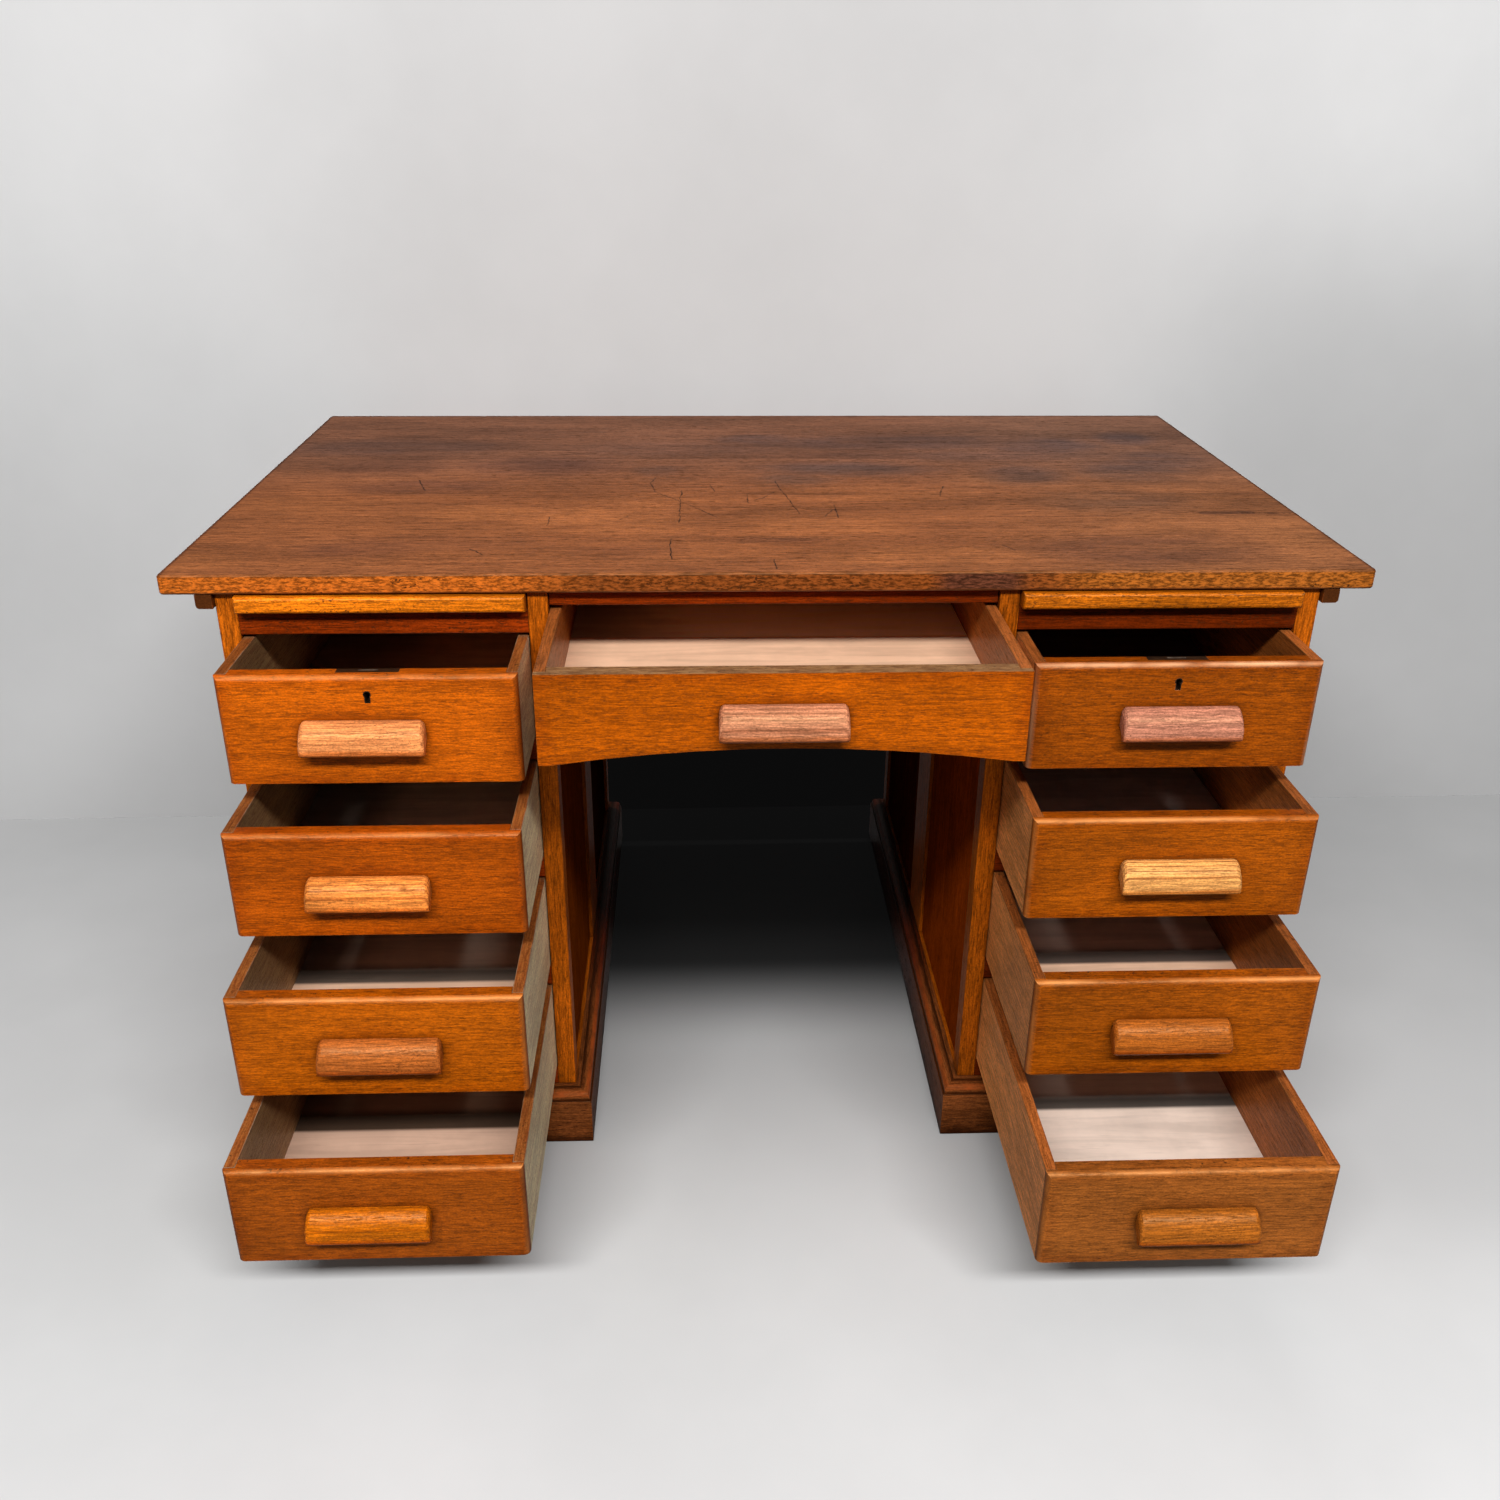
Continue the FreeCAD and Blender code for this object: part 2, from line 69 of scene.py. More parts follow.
# A pull's section is three arcs, each through three places (shares of its depth and height) in some steps.
# At its two shoulders the section gets smaller along a quarter turn.
PULL_SECTION = (
    (((0.22, 1.0), (0.78, 0.70), (1.0, 0.23)), 12),
    (((1.0, 0.23), (0.93, 0.04), (0.74, 0.0)), 5),
    (((0.62, 0.07), (0.44, 0.33), (0.0, 0.47)), 7))
SHOULDER, SHOULDER_TURNS = 6 * MM, (90, 66, 44, 22, 0)
SHOULDER_SHALLOWER, SHOULDER_LOWER = 0.12, 0.30

# How far slow noises lead the grain astray
GRAIN_BENDS = (((2.2, 9.0, 9.0), 12 * MM), ((14.0, 40.0, 40.0), 3 * MM))


def ink(red, green, blue):
    """Colour written in the usual 0 to 255 steps, as the shader's linear values."""
    parts = [step / 255 for step in (red, green, blue)]
    return tuple(part / 12.92 if part <= 0.04045 else ((part + 0.055) / 1.055) ** 2.4 for part in parts)


def shade(colour, amount):
    """The same colour made lighter or darker."""
    return tuple(min(part * amount, 1.0) for part in colour)


class Finish:
    """A material whose nodes are added one short call at a time."""

    def __init__(self, name):
        self.material = bpy.data.materials.new(name)
        self.material.use_nodes = True
        self.tree = self.material.node_tree
        self.shader = self.tree.nodes["Principled BSDF"]

    def feed(self, socket, value):
        """Link a socket or set it. Colours have three parts here; their sockets want a fourth."""
        if isinstance(value, bpy.types.NodeSocket):
            self.tree.links.new(value, socket)
        else:
            socket.default_value = (*value, 1.0) if socket.type == "RGBA" else value

    def add(self, kind, sockets, **settings):
        node = self.tree.nodes.new("ShaderNode" + kind)
        for key, value in settings.items():
            setattr(node, key, value)
        for socket, value in sockets.items():
            self.feed(node.inputs[socket], value)
        return node

    def mark(self, name, reading="Fac"):
        """Value that each piece's mesh carries under this name."""
        return self.add("Attribute", {}, attribute_name=name).outputs[reading]

    def place(self):
        """Place on the desk, in metres."""
        return self.add("TexCoord", {}).outputs["Object"]

    def axes(self, vector):
        """A vector's parts across, deep and up."""
        return self.add("SeparateXYZ", {0: vector}).outputs

    def math(self, operation, first, second=0.0, **settings):
        return self.add("Math", {0: first, 1: second}, operation=operation, **settings).outputs[0]

    def sum(self, first, second):
        return self.math("ADD", first, second)

    def times(self, first, second):
        return self.math("MULTIPLY", first, second)

    def most(self, first, second):
        return self.math("MAXIMUM", first, second)

    def vector(self, operation, first, second=(0.0, 0.0, 0.0)):
        made = self.add("VectorMath", {0: first, 1: second}, operation=operation)
        return made.outputs["Value" if operation in ("LENGTH", "DISTANCE", "DOT_PRODUCT") else "Vector"]

    def stretch(self, vector, scales):
        """Vector multiplied by a scale for each axis, or by one for all."""
        return self.vector("MULTIPLY", vector, scales if isinstance(scales, tuple) else (scales,) * 3)

    def noise(self, vector, scales, detail=2.0, rough=0.5, swirl=0.0):
        sockets = {"Vector": self.stretch(vector, scales), "Scale": 1.0, "Detail": detail,
                   "Roughness": rough, "Distortion": swirl}
        return self.add("TexNoise", sockets).outputs["Fac"]

    def wander(self, vector, source, scales, reach):
        """Vector led astray by a slow noise of its source."""
        drift = self.add("TexNoise", {"Vector": self.stretch(source, scales), "Scale": 1.0, "Detail": 2.0})
        centred = self.vector("SUBTRACT", drift.outputs["Color"], (0.5, 0.5, 0.5))
        return self.vector("ADD", vector, self.stretch(centred, reach))

    def fade(self, value, start, end, low=0.0, high=1.0):
        """Soft step of a value from start to end; it falls where start lies above end."""
        sockets = {"Value": value, "From Min": start, "From Max": end, "To Min": low, "To Max": high}
        return self.add("MapRange", sockets, interpolation_type="SMOOTHSTEP").outputs["Result"]

    def band(self, value, start, full, fading, end):
        """Soft band of a value: one from full to fading, nothing before start and past end."""
        return self.times(self.fade(value, start, full), self.fade(value, end, fading))

    def blend(self, share, first, second, mode="MIX"):
        sockets = {0: share, 6: first, 7: second}
        return self.add("Mix", sockets, data_type="RGBA", blend_type=mode).outputs[2]

    def tint(self, share, colour, tint):
        """Colour multiplied by a tint, as far as the share goes."""
        return self.blend(share, colour, tint, "MULTIPLY")

    def lighten(self, colour, value):
        """Colour with its brightness multiplied by a value."""
        return self.add("HueSaturation", {"Color": colour, "Value": value}).outputs["Color"]

    def spot(self, place, centre, reach):
        """One inside an oval round a place, fading to nothing at its reach."""
        inverse = tuple(1 / size if size else 0.0 for size in reach)
        away = self.stretch(self.vector("SUBTRACT", place, centre), inverse)
        return self.fade(self.vector("LENGTH", away), 1.0, 0.25)

    def line(self, place, start, end, width):
        """One on a thin line between two places, fading to nothing at its width."""
        run = Vector(end) - Vector(start)
        way = self.vector("SUBTRACT", place, start)
        share = self.vector("DOT_PRODUCT", way, run / run.length_squared)
        held = self.math("MULTIPLY", share, 1.0, use_clamp=True)
        nearest = self.add("VectorMath", {0: run, "Scale": held}, operation="SCALE").outputs[0]
        return self.fade(self.vector("DISTANCE", way, nearest), width, 0.35 * width)

    def surface(self, colour, height, smooth, dull, relief, depth):
        """Feed the shader: colour, roughness that follows the height, and a fine relief."""
        self.feed(self.shader.inputs["Base Color"], colour)
        self.feed(self.shader.inputs["Roughness"], self.fade(height, 0.0, 1.0, dull, smooth))
        bump = self.add("Bump", {"Height": height, "Strength": relief, "Distance": depth})
        self.feed(self.shader.inputs["Normal"], bump.outputs[0])
        return self.material


# ---------------------------------------------------------------- oak
VARNISH = ink(255, 216, 160)
PIT_BLACK, PIT_BROWN = (0.02, 0.008, 0.004), (0.05, 0.014, 0.004)


def oak_figure(work, timber, body, contrast, pores, pore_length):
    """Colour and height of sawn oak: wandering streaks, fine fibres and dark open pores."""
    bent = timber
    for scales, reach in GRAIN_BENDS:
        bent = work.wander(bent, timber, scales, (0.0, reach, reach))
    growth = work.noise(bent, (1.6, 190.0, 190.0))
    streak = work.noise(bent, (3.0, 60.0, 60.0), 2.0, 0.6)
    lines = work.noise(bent, (30.0 / pore_length, 620.0, 620.0), 2.0, 0.7)
    mix = work.sum(work.times(growth, 0.15), work.sum(work.times(streak, 0.12), work.times(lines, 0.73)))
    half = 0.11 / contrast
    colour = work.blend(work.fade(mix, 0.5 - half, 0.5 + half), shade(body, 1.3), shade(body, 0.66))
    broad = work.noise(timber, (5.0, 12.0, 12.0))
    colour = work.lighten(colour, work.fade(broad, 0.3, 0.7, 1 - 0.2 * contrast, 1 + 0.16 * contrast))
    dashes = work.fade(work.noise(bent, (80.0 / pore_length, 760.0, 760.0), 2.0, 0.6), 0.53, 0.64)
    open_grain = work.times(dashes, work.fade(growth, 0.35, 0.62, 0.4, 1.0))
    colour = work.blend(work.times(open_grain, pores), colour, shade(body, 0.26))
    return colour, work.math("SUBTRACT", 1.0, open_grain)


def edge_wear_and_highlight(work, timber, colour, body, worn, wear_and_highlight):
    """Sharp arrises are dark with old polish and scuffed pale in places; rounded edges are scuffed pale and
    carry a painted highlight.
    """
    arris, rounding = work.mark("arris"), work.mark("rounding")
    patchy = work.noise(timber, (26.0, 90.0, 90.0), 3.0, 0.65)
    colour = work.blend(work.times(arris, work.fade(patchy, 0.6, 0.35, 0.2, 0.8)), colour, shade(body, 0.3))
    rubbed = work.fade(patchy, 0.5, 0.66, 0.0, 0.5 * wear_and_highlight)
    colour = work.blend(work.times(arris, rubbed), colour, worn)
    soft = work.noise(timber, 11.0, 3.0, 0.55)
    # Rounded edges: scuffs and a painted highlight in the pale colour, most on top.
    return work.blend(work.times(rounding, work.fade(soft, 0.3, 0.68, 0.1 * wear_and_highlight, wear_and_highlight)), colour, worn)


def specks(work, place, colour, dark, share, size=1.0):
    """Small dark pits and spots of old grime."""
    dots = work.noise(place, (210.0 / size, 330.0 / size, 330.0 / size), 2.0, 0.6)
    clusters = work.fade(work.noise(place, (14.0, 30.0, 30.0)), 0.4, 0.62, 0.2, 1.0)
    return work.blend(work.times(work.times(work.fade(dots, 0.60, 0.68), clusters), share), colour, dark)


def painted_corner_shade(work, colour, dark, reach, share):
    """Painted shade in the inner corners, where ambient occlusion finds them sheltered."""
    shelter = work.add("AmbientOcclusion", {"Distance": reach}, samples=4).outputs["AO"]
    return work.blend(work.times(work.fade(shelter, 0.97, 0.48), share), colour, dark)


def oak(name, body, contrast=1.0, worn=None, wear_and_highlight=0.7, tone=0.12, pores=0.8, pore_length=1.0,
        gloss=0.3, painted_shading=0.5, painted_shading_reach=8 * MM, end_grain=0.6, lie=None, extra=None):
    """Stained and varnished oak. Boards carry their own grain; a part from the solids has its grain along
    the desk, turned by lie."""
    work = Finish(name)
    if lie:
        timber = work.add("Mapping", {"Vector": work.place(), "Rotation": lie}).outputs[0]
    else:
        timber = work.mark("timber", "Vector")
    colour, height = oak_figure(work, timber, body, contrast, pores, pore_length)
    grit = work.noise(timber, (380.0, 620.0, 620.0), 2.0, 0.6)
    colour = work.lighten(colour, work.fade(grit, 0.32, 0.68, 1 - 0.2 * contrast, 1 + 0.2 * contrast))
    colour = work.lighten(colour, work.sum(1.0, work.times(work.mark("tone"), tone)))
    cut_ends = work.times(work.fade(work.mark("end"), 0.3, 0.9), end_grain)
    colour = work.blend(cut_ends, colour, shade(body, 0.35))
    if extra:
        colour = extra(work, timber, colour)
    # Scuffed arrises, and a painted highlight along rounded edges.
    colour = edge_wear_and_highlight(work, timber, colour, body, worn or shade(body, 1.5), wear_and_highlight)
    # Painted shade in the inner corners, found by ambient occlusion.
    colour = painted_corner_shade(work, colour, shade(body, 0.18), painted_shading_reach, painted_shading)
    work.feed(work.shader.inputs["Specular IOR Level"], gloss)
    work.feed(work.shader.inputs["Specular Tint"], VARNISH)
    return work.surface(colour, height, 0.34, 0.55, 0.4, 0.35 * MM)


# ---------------------------------------------------------------- pieces
class Piece:
    """Mesh of one piece of the desk. Each board in it carries its own run of grain, tone and scuffed arrises,
    and rounded edges with a painted highlight.
    """

    def __init__(self):
        self.mesh = bmesh.new()
        self.timber = self.mesh.loops.layers.float_vector.new("timber")
        new_mark = self.mesh.loops.layers.float.new
        self.tone, self.arris, self.rounding = new_mark("tone"), new_mark("arris"), new_mark("rounding")
        self.end, self.stain = new_mark("end"), new_mark("stain")
        self.known = self.mesh.faces.layers.int.new("known")

    def ease(self, edges, radius, segments=2):
        """Round edges over and mark the new faces as worn arris."""
        made = bmesh.ops.bevel(self.mesh, geom=edges, offset=radius, offset_type="OFFSET", segments=segments,
                               profile=0.5, affect="EDGES", material=-1, clamp_overlap=True)
        for face in made["faces"]:
            for loop in face.loops:
                loop[self.arris] = 1.0

    def stamp(self, faces, grain, tone=None):
        """Give the faces of one board their grain, a place in the tree, and their tone."""
        parts = list(zip(*(vertex.co for face in faces for vertex in face.verts)))
        low, high = Vector([min(part) for part in parts]), Vector([max(part) for part in parts])
        others = sorted((axis for axis in range(3) if axis != grain), key=lambda axis: low[axis] - high[axis])
        heart = (chance.uniform(-60, 60) * MM, chance.uniform(50, 160) * MM)
        own_tone = chance.uniform(-1, 1) if tone is None else tone
        along = chance.uniform(0, 20)
        middle = (low + high) / 2
        for face in faces:
            face.normal_update()
            face[self.known] = 1
            for loop in face.loops:
                way = loop.vert.co - middle
                loop[self.timber] = (way[grain] + along, way[others[0]] + heart[0], way[others[1]] + heart[1])
                loop[self.tone] = own_tone
                loop[self.end] = abs(face.normal[grain])

    def fresh(self):
        return [face for face in self.mesh.faces if not face[self.known]]

    def block(self, low, high):
        """Plain box between two corners."""
        low, high = Vector(low), Vector(high)
        made = bmesh.ops.create_cube(self.mesh, size=1.0)["verts"]
        bmesh.ops.scale(self.mesh, vec=high - low, verts=made)
        bmesh.ops.translate(self.mesh, vec=(low + high) / 2, verts=made)
        return made

    def board(self, low, high, grain, tone=None):
        """Straight board between two corners, with its arrises eased."""
        made = self.block(low, high)
        self.ease(list({edge for vertex in made for edge in vertex.link_edges}), BOARD_ARRIS)
        self.stamp(self.fresh(), grain, tone)

    def solids_of(self, node, grain, tone=None):
        """The node's solids with their loose triangles merged, their arrises eased and each board stamped."""
        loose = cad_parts[node].data.copy()
        loose.attributes.remove(loose.attributes["custom_normal"])
        self.mesh.from_mesh(loose)
        bpy.data.meshes.remove(loose)
        bmesh.ops.remove_doubles(self.mesh, verts=self.mesh.verts, dist=SAME_PLACE)
        bmesh.ops.dissolve_limit(self.mesh, angle_limit=FLAT_TURN, verts=self.mesh.verts,
                                 edges=self.mesh.edges)
        sharp = [edge for edge in self.mesh.edges if len(edge.link_faces) == 2 and edge.is_convex
                 and edge.calc_face_angle() > ARRIS_TURN]
        self.ease(sharp, SOLID_ARRIS)
        rest = set(self.fresh())
        while rest:
            board, found = set(), [min(rest, key=lambda face: face.index)]
            while found:
                face = found.pop()
                if face not in board:
                    board.add(face)
                    found.extend(other for edge in face.edges for other in edge.link_faces)
            rest -= board
            self.stamp(sorted(board, key=lambda face: face.index), grain, tone)

    def mark_roundings_for_wear_and_highlight(self):
        """Mark the solid's own rounded edges for scuffs and a painted highlight, most where they face half way
        between two sides and where they face up, within reach of a hand and of the light from above."""
        self.mesh.normal_update()
        for face in self.mesh.faces:
            if max(abs(part) for part in face.normal) < 0.985:
                reached = min(max(1.5 * face.normal.z, 0.3), 1.0)
                for loop in face.loops:
                    slant = (1 - max(abs(part) for part in loop.vert.normal)) / 0.29
                    loop[self.rounding] = min(max(slant, 0.0), 1.0) * reached

    def done(self, name, body, material, node):
        """Make the object, let it ride on its body, and let it stand for its CAD node."""
        for face in self.mesh.faces:
            face.smooth = True
        for edge in self.mesh.edges:
            edge.smooth = len(edge.link_faces) == 2 and edge.calc_face_angle() < SMOOTH_TURN
        self.mesh.faces.layers.int.remove(self.known)
        made = new_object(name, self.mesh, material)
        made.modifiers.new("flat faces stay flat", "WEIGHTED_NORMAL").keep_sharp = True
        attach(made, body)
        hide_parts(node)


def new_object(name, mesh, material):
    """Object in the scene with the mesh and one material."""
    data = bpy.data.meshes.new(name)
    mesh.to_mesh(data)
    mesh.free()
    data.materials.append(material)
    made = bpy.data.objects.new(name, data)
    bpy.context.scene.collection.objects.link(made)
    return made


def keep(node, material):
    """Give a CAD node that stays as it is its finish."""
    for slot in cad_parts[node].material_slots:
        slot.material = material


# ---------------------------------------------------------------- finishes
# A drawer's stain on its face and its pull, how dark the pull's growth lines are, how far the face's edges are
# scuffed and given a painted highlight, and the wood of its floor
Look = namedtuple("Look", "face grip growth_lines rubbed floor")
DRAWER_LOOKS = {
    # The two upper left drawers have paler floors than the rest: painted light in their shaded insides.
    "left_top_drawer": Look(ink(188, 87, 5), ink(236, 143, 82), 0.3, 0.5, ink(246, 222, 200)),
    "left_upper_drawer": Look(ink(188, 84, 5), ink(219, 128, 55), 0.6, 0.5, ink(246, 222, 200)),
    "left_lower_drawer": Look(ink(170, 82, 4), ink(184, 98, 38), 0.1, 0.75, ink(224, 182, 152)),
    "left_bottom_drawer": Look(ink(157, 75, 10), ink(200, 103, 6), 0.4, 0.75, ink(208, 170, 146)),
    "right_top_drawer": Look(ink(162, 76, 4), ink(196, 127, 100), 0.1, 1.2, ink(224, 182, 152)),
    "right_upper_drawer": Look(ink(168, 81, 5), ink(232, 160, 88), 0.75, 0.9, ink(224, 182, 152)),
    "right_lower_drawer": Look(ink(163, 80, 7), ink(187, 100, 31), 0.1, 1.0, ink(224, 182, 152)),
    "right_bottom_drawer": Look(ink(161, 90, 32), ink(180, 100, 28), 0.1, 0.75, ink(226, 204, 188)),
    "centre_drawer": Look(ink(178, 82, 1), ink(197, 128, 92), 0.5, 0.2, ink(240, 194, 159))}
# Pale colours of scuffed edges, also used for the painted highlight along rounded edges.
WORN_HIGHLIT_PINK, WORN_HIGHLIT_ORANGE = ink(244, 180, 132), ink(242, 156, 84)

# Painted shadow and painted light on a drawer's floor, in millimetres: where along the depth it begins and
# where it thins out, its tint there, and where across the desk its left corner is darkest and clear again
EVERYWHERE = -600
FLOOR_PAINTED_SHADOWS = {
    "left_top_drawer": (EVERYWHERE, EVERYWHERE, (1.0, 1.0, 1.0), (-500, -330)),
    "right_top_drawer": (EVERYWHERE, EVERYWHERE, (0.24, 0.29, 0.42), None),
    "right_upper_drawer": (EVERYWHERE, EVERYWHERE, (1.1, 1.4, 1.8), None),
    "left_upper_drawer": (EVERYWHERE, EVERYWHERE, (1.0, 1.0, 1.0), (-500, -435)),
    "left_lower_drawer": (-259, -231, (1.15, 1.3, 1.45), (-560, -440)),
    "left_bottom_drawer": (-338, -308, (0.8, 0.72, 0.62), (-570, -440)),
    "right_lower_drawer": (-241, -214, (1.1, 1.25, 1.5), None),
    "right_bottom_drawer": (-324, -301, (1.0, 1.0, 1.0), None),
    "centre_drawer": (-114, EVERYWHERE, (1.5, 2.2, 2.3), (-215, -70))}

# Marks on the desktop, in millimetres: paths of scratches, and patches with their middle, reach and strength
DESKTOP_SCRATCHES = (
    ((-137, 178), (-143, 151), (-137, 106), (-108, 68), (-88, 37), (-60, -9)),
    ((18, 159), (29, 85), (40, 5)), ((14, 104), (-2, 75), (-11, 67)), ((-19, 92), (-20, 52)),
    ((-66, 140), (-61, 109)), ((-114, -96), (-112, -171)), ((0, -172), (2, -206)), ((86, 45), (86, -11)),
    ((70, -5), (84, 24)), ((-103, 112), (-105, -31)), ((-259, -7), (-259, -42)), ((-175, -19), (-166, -2)),
    ((-445, 167), (-428, 115)), ((237, 134), (223, 83)), ((261, -125), (271, -144)),
    ((-336, -131), (-320, -151)))
DESKTOP_LIGHT = (
    ((-342, 10), (125, 45), 1.0), ((-192, -15), (170, 95), 0.7), ((-142, 65), (120, 50), 0.5),
    ((78, -35), (150, 85), 0.8), ((138, 95), (170, 60), 0.55), ((288, 170), (50, 45), 0.55),
    ((168, -165), (190, 55), 0.95), ((-627, -175), (70, 60), 0.8), ((603, -85), (60, 130), 0.45),
    ((-572, 45), (120, 55), 0.35), ((-92, -160), (120, 35), 0.3), ((440, 470), (230, 90), 0.4))
DESKTOP_BROWN = (
    ((-442, 135), (150, 52), 1.0), ((-462, -125), (110, 60), 0.9), ((-412, -110), (230, 45), 0.5),
    ((418, -145), (190, 85), 0.9), ((-2, -103), (100, 16), 0.8), ((-492, 230), (120, 70), 0.6),
    ((-292, 240), (160, 70), 0.8), ((-162, -145), (90, 40), 0.4))
# Greyish patches of painted sheen.
DESKTOP_SHEEN = (
    ((118, 220), (170, 60), 1.0), ((48, 170), (80, 48), 0.8), ((353, 185), (85, 75), 0.8),
    ((508, 205), (110, 75), 0.8), ((438, 55), (140, 75), 0.6), ((8, 390), (90, 52), 0.95),
    ((188, 377), (310, 62), 0.75), ((418, 355), (110, 70), 0.95), ((548, 400), (60, 55), 1.0),
    ((-112, 340), (220, 60), 0.4), ((-512, 350), (220, 70), 0.55), ((288, 295), (300, 45), 0.35),
    ((-132, 215), (50, 38), 0.6), ((560, 262), (90, 70), 0.7))
DESKTOP_KNOT, KNOT_TAIL = (618, 1), ((535, 2), (592, 4))


def drawer_face_marks(name):
    """A drawer face is darker at its rim, darker round its pull from handling and as painted shade of the pull,
    and its top is speckled.
    """
    low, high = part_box(name + "_pull")
    centre, half = (low + high) / 2, (high - low) / 2
    handling_and_shade_reach = (half.x + 30 * MM, 60 * MM, half.z + 26 * MM)
    face_low, face_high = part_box(name + "_front")
    middle, size = (face_low + face_high) / 2, (face_high - face_low) / 2

    def add_marks(work, timber, colour):
        place = work.place()
        patchy = work.fade(work.noise(place, 24.0, 3.0, 0.6), 0.38, 0.66, 0.1, 0.6)
        # Darker round the pull: handling marks, and painted shade cast by the pull.
        colour = work.tint(work.times(work.spot(place, centre, handling_and_shade_reach), patchy), colour, (0.55, 0.42, 0.34))
        x, _, z = work.axes(work.vector("ABSOLUTE", work.vector("SUBTRACT", place, middle)))
        rim = work.most(work.fade(x, size.x - 26 * MM, size.x), work.fade(z, size.z - 20 * MM, size.z))
        rough = work.fade(work.noise(place, 30.0, 3.0, 0.6), 0.3, 0.7, 0.2, 0.7)
        colour = work.tint(work.times(rim, rough), colour, (0.6, 0.46, 0.4))
        top = work.mark("stain")
        if name == "centre_drawer":
            aged = work.fade(work.noise(place, (70.0, 300.0, 300.0), 3.0, 0.65), 0.36, 0.64)
            aged = work.blend(aged, ink(104, 72, 44), ink(150, 112, 72))
            colour = work.blend(work.times(top, 0.9), colour, aged)
        return specks(work, place, colour, PIT_BLACK, work.fade(top, 0.0, 1.0, 0.25, 0.9))
    return add_marks


def stained_top(edge_tint, inner_tint):
    """Drawer sides: bare wood outside, darker inside, and with a stain along the top edge like the face."""
    def add_stain(work, timber, colour):
        stain = work.mark("stain")
        tint = work.blend(work.fade(stain, 0.1, 0.4), (1.0, 1.0, 1.0), inner_tint)
        tint = work.blend(work.fade(stain, 0.6, 0.9), tint, edge_tint)
        colour = work.tint(1.0, colour, tint)
        return specks(work, work.place(), colour, PIT_BLACK, work.fade(stain, 0.6, 0.9, 0.1, 0.9))
    return add_stain


def plank_seams(low, high):
    """Where the desktop's planks meet, from the front to the back."""
    seams, reached = [], low
    for share in PLANK_SHARES[:-1]:
        reached += share * (high - low)
        seams.append(reached)
    return seams


def desktop_patches(work, place, colour, top):
    """Paler scuffed patches, browned patches, and greyed patches of painted sheen, each an oval with a ragged
    rim.
    """
    ragged = work.fade(work.noise(place, (7.0, 20.0, 9.0), 5.0, 0.65), 0.3, 0.62, 0.35, 1.0)
    for patches, tint in ((DESKTOP_LIGHT, (1.38, 1.42, 1.35)), (DESKTOP_BROWN, (0.66, 0.68, 0.9)),
                          (DESKTOP_SHEEN, (0.56, 0.74, 1.2))):
        cover = 0.0
        for (x, y), (wide, deep), share in patches:
            oval = work.spot(place, (x * MM, y * MM, top), (wide * MM, deep * MM, 0))
            cover = work.most(cover, work.times(oval, share))
        colour = work.tint(work.times(cover, ragged), colour, tint)
    return colour


def desktop_borders(work, place, colour, low, high):
    """Dark seams between the planks, and a dark border along the ends and the back."""
    seams = 0.0
    for y in plank_seams(low.y, high.y):
        seams = work.most(seams, work.line(place, (low.x, y, high.z), (high.x, y, high.z), 1.6 * MM))
    shown = work.fade(work.noise(place, 5.0, 3.0, 0.6), 0.4, 0.62, 0.1, 0.6)
    colour = work.tint(work.times(seams, shown), colour, (0.3, 0.25, 0.25))
    x, y, _ = work.axes(place)
    border = work.most(work.fade(work.math("ABSOLUTE", x), high.x - 7 * MM, high.x - 3 * MM),
                       work.fade(y, high.y - 9 * MM, high.y - 4 * MM))
    return work.tint(work.times(border, 0.8), colour, (0.3, 0.22, 0.2))


def desktop_knot(work, place, colour, top):
    """Knot with rings round it and a dark tail."""
    knot, *tail = [(x * MM, y * MM, top) for x, y in (DESKTOP_KNOT, *KNOT_TAIL)]
    away = work.vector("LENGTH", work.stretch(work.vector("SUBTRACT", place, knot), (1.0, 2.4, 0.0)))
    rings = work.fade(work.math("SINE", work.times(away, 900.0)), -0.2, 1.0)
    near = work.times(work.fade(away, 60 * MM, 12 * MM), 0.6)
    colour = work.tint(work.times(rings, near), colour, (0.35, 0.28, 0.26))
    colour = work.tint(work.times(work.line(place, *tail, 10 * MM), 0.75), colour, (0.42, 0.4, 0.5))
    return work.tint(work.fade(away, 9 * MM, 4 * MM, 0.0, 0.8), colour, (0.25, 0.18, 0.16))


def desktop_scratches(work, place, colour, top):
    """Thin dark scratches, a little unsteady and broken."""
    shaken = work.wander(place, place, 60.0, (6 * MM, 6 * MM, 0.0))
    scratch = 0.0
    for path in DESKTOP_SCRATCHES:
        points = [(x * MM, y * MM, top) for x, y in path]
        for start, end in zip(points, points[1:]):
            scratch = work.most(scratch, work.line(shaken, start, end, 1.1 * MM))
    broken = work.fade(work.noise(place, 90.0), 0.35, 0.6, 0.5, 1.0)
    return work.blend(work.times(scratch, broken), colour, (0.02, 0.008, 0.005))


def desktop_edge(work, place, along):
    """Colour of the desktop's edge from left to right, mottled and speckled."""
    edge = work.blend(work.fade(along, -0.18, -0.32), ink(124, 64, 24), ink(184, 94, 27))
    edge = work.blend(work.fade(along, 0.28, 0.36), edge, ink(157, 87, 28))
    edge = work.blend(work.band(along, 0.16, 0.19, 0.25, 0.28), edge, ink(90, 50, 33))
    mottle = work.fade(work.noise(place, (110.0, 200.0, 380.0), 4.0, 0.75), 0.38, 0.62, 0.4, 1.55)
    return specks(work, place, work.lighten(edge, mottle), (0.03, 0.01, 0.004), 0.9)


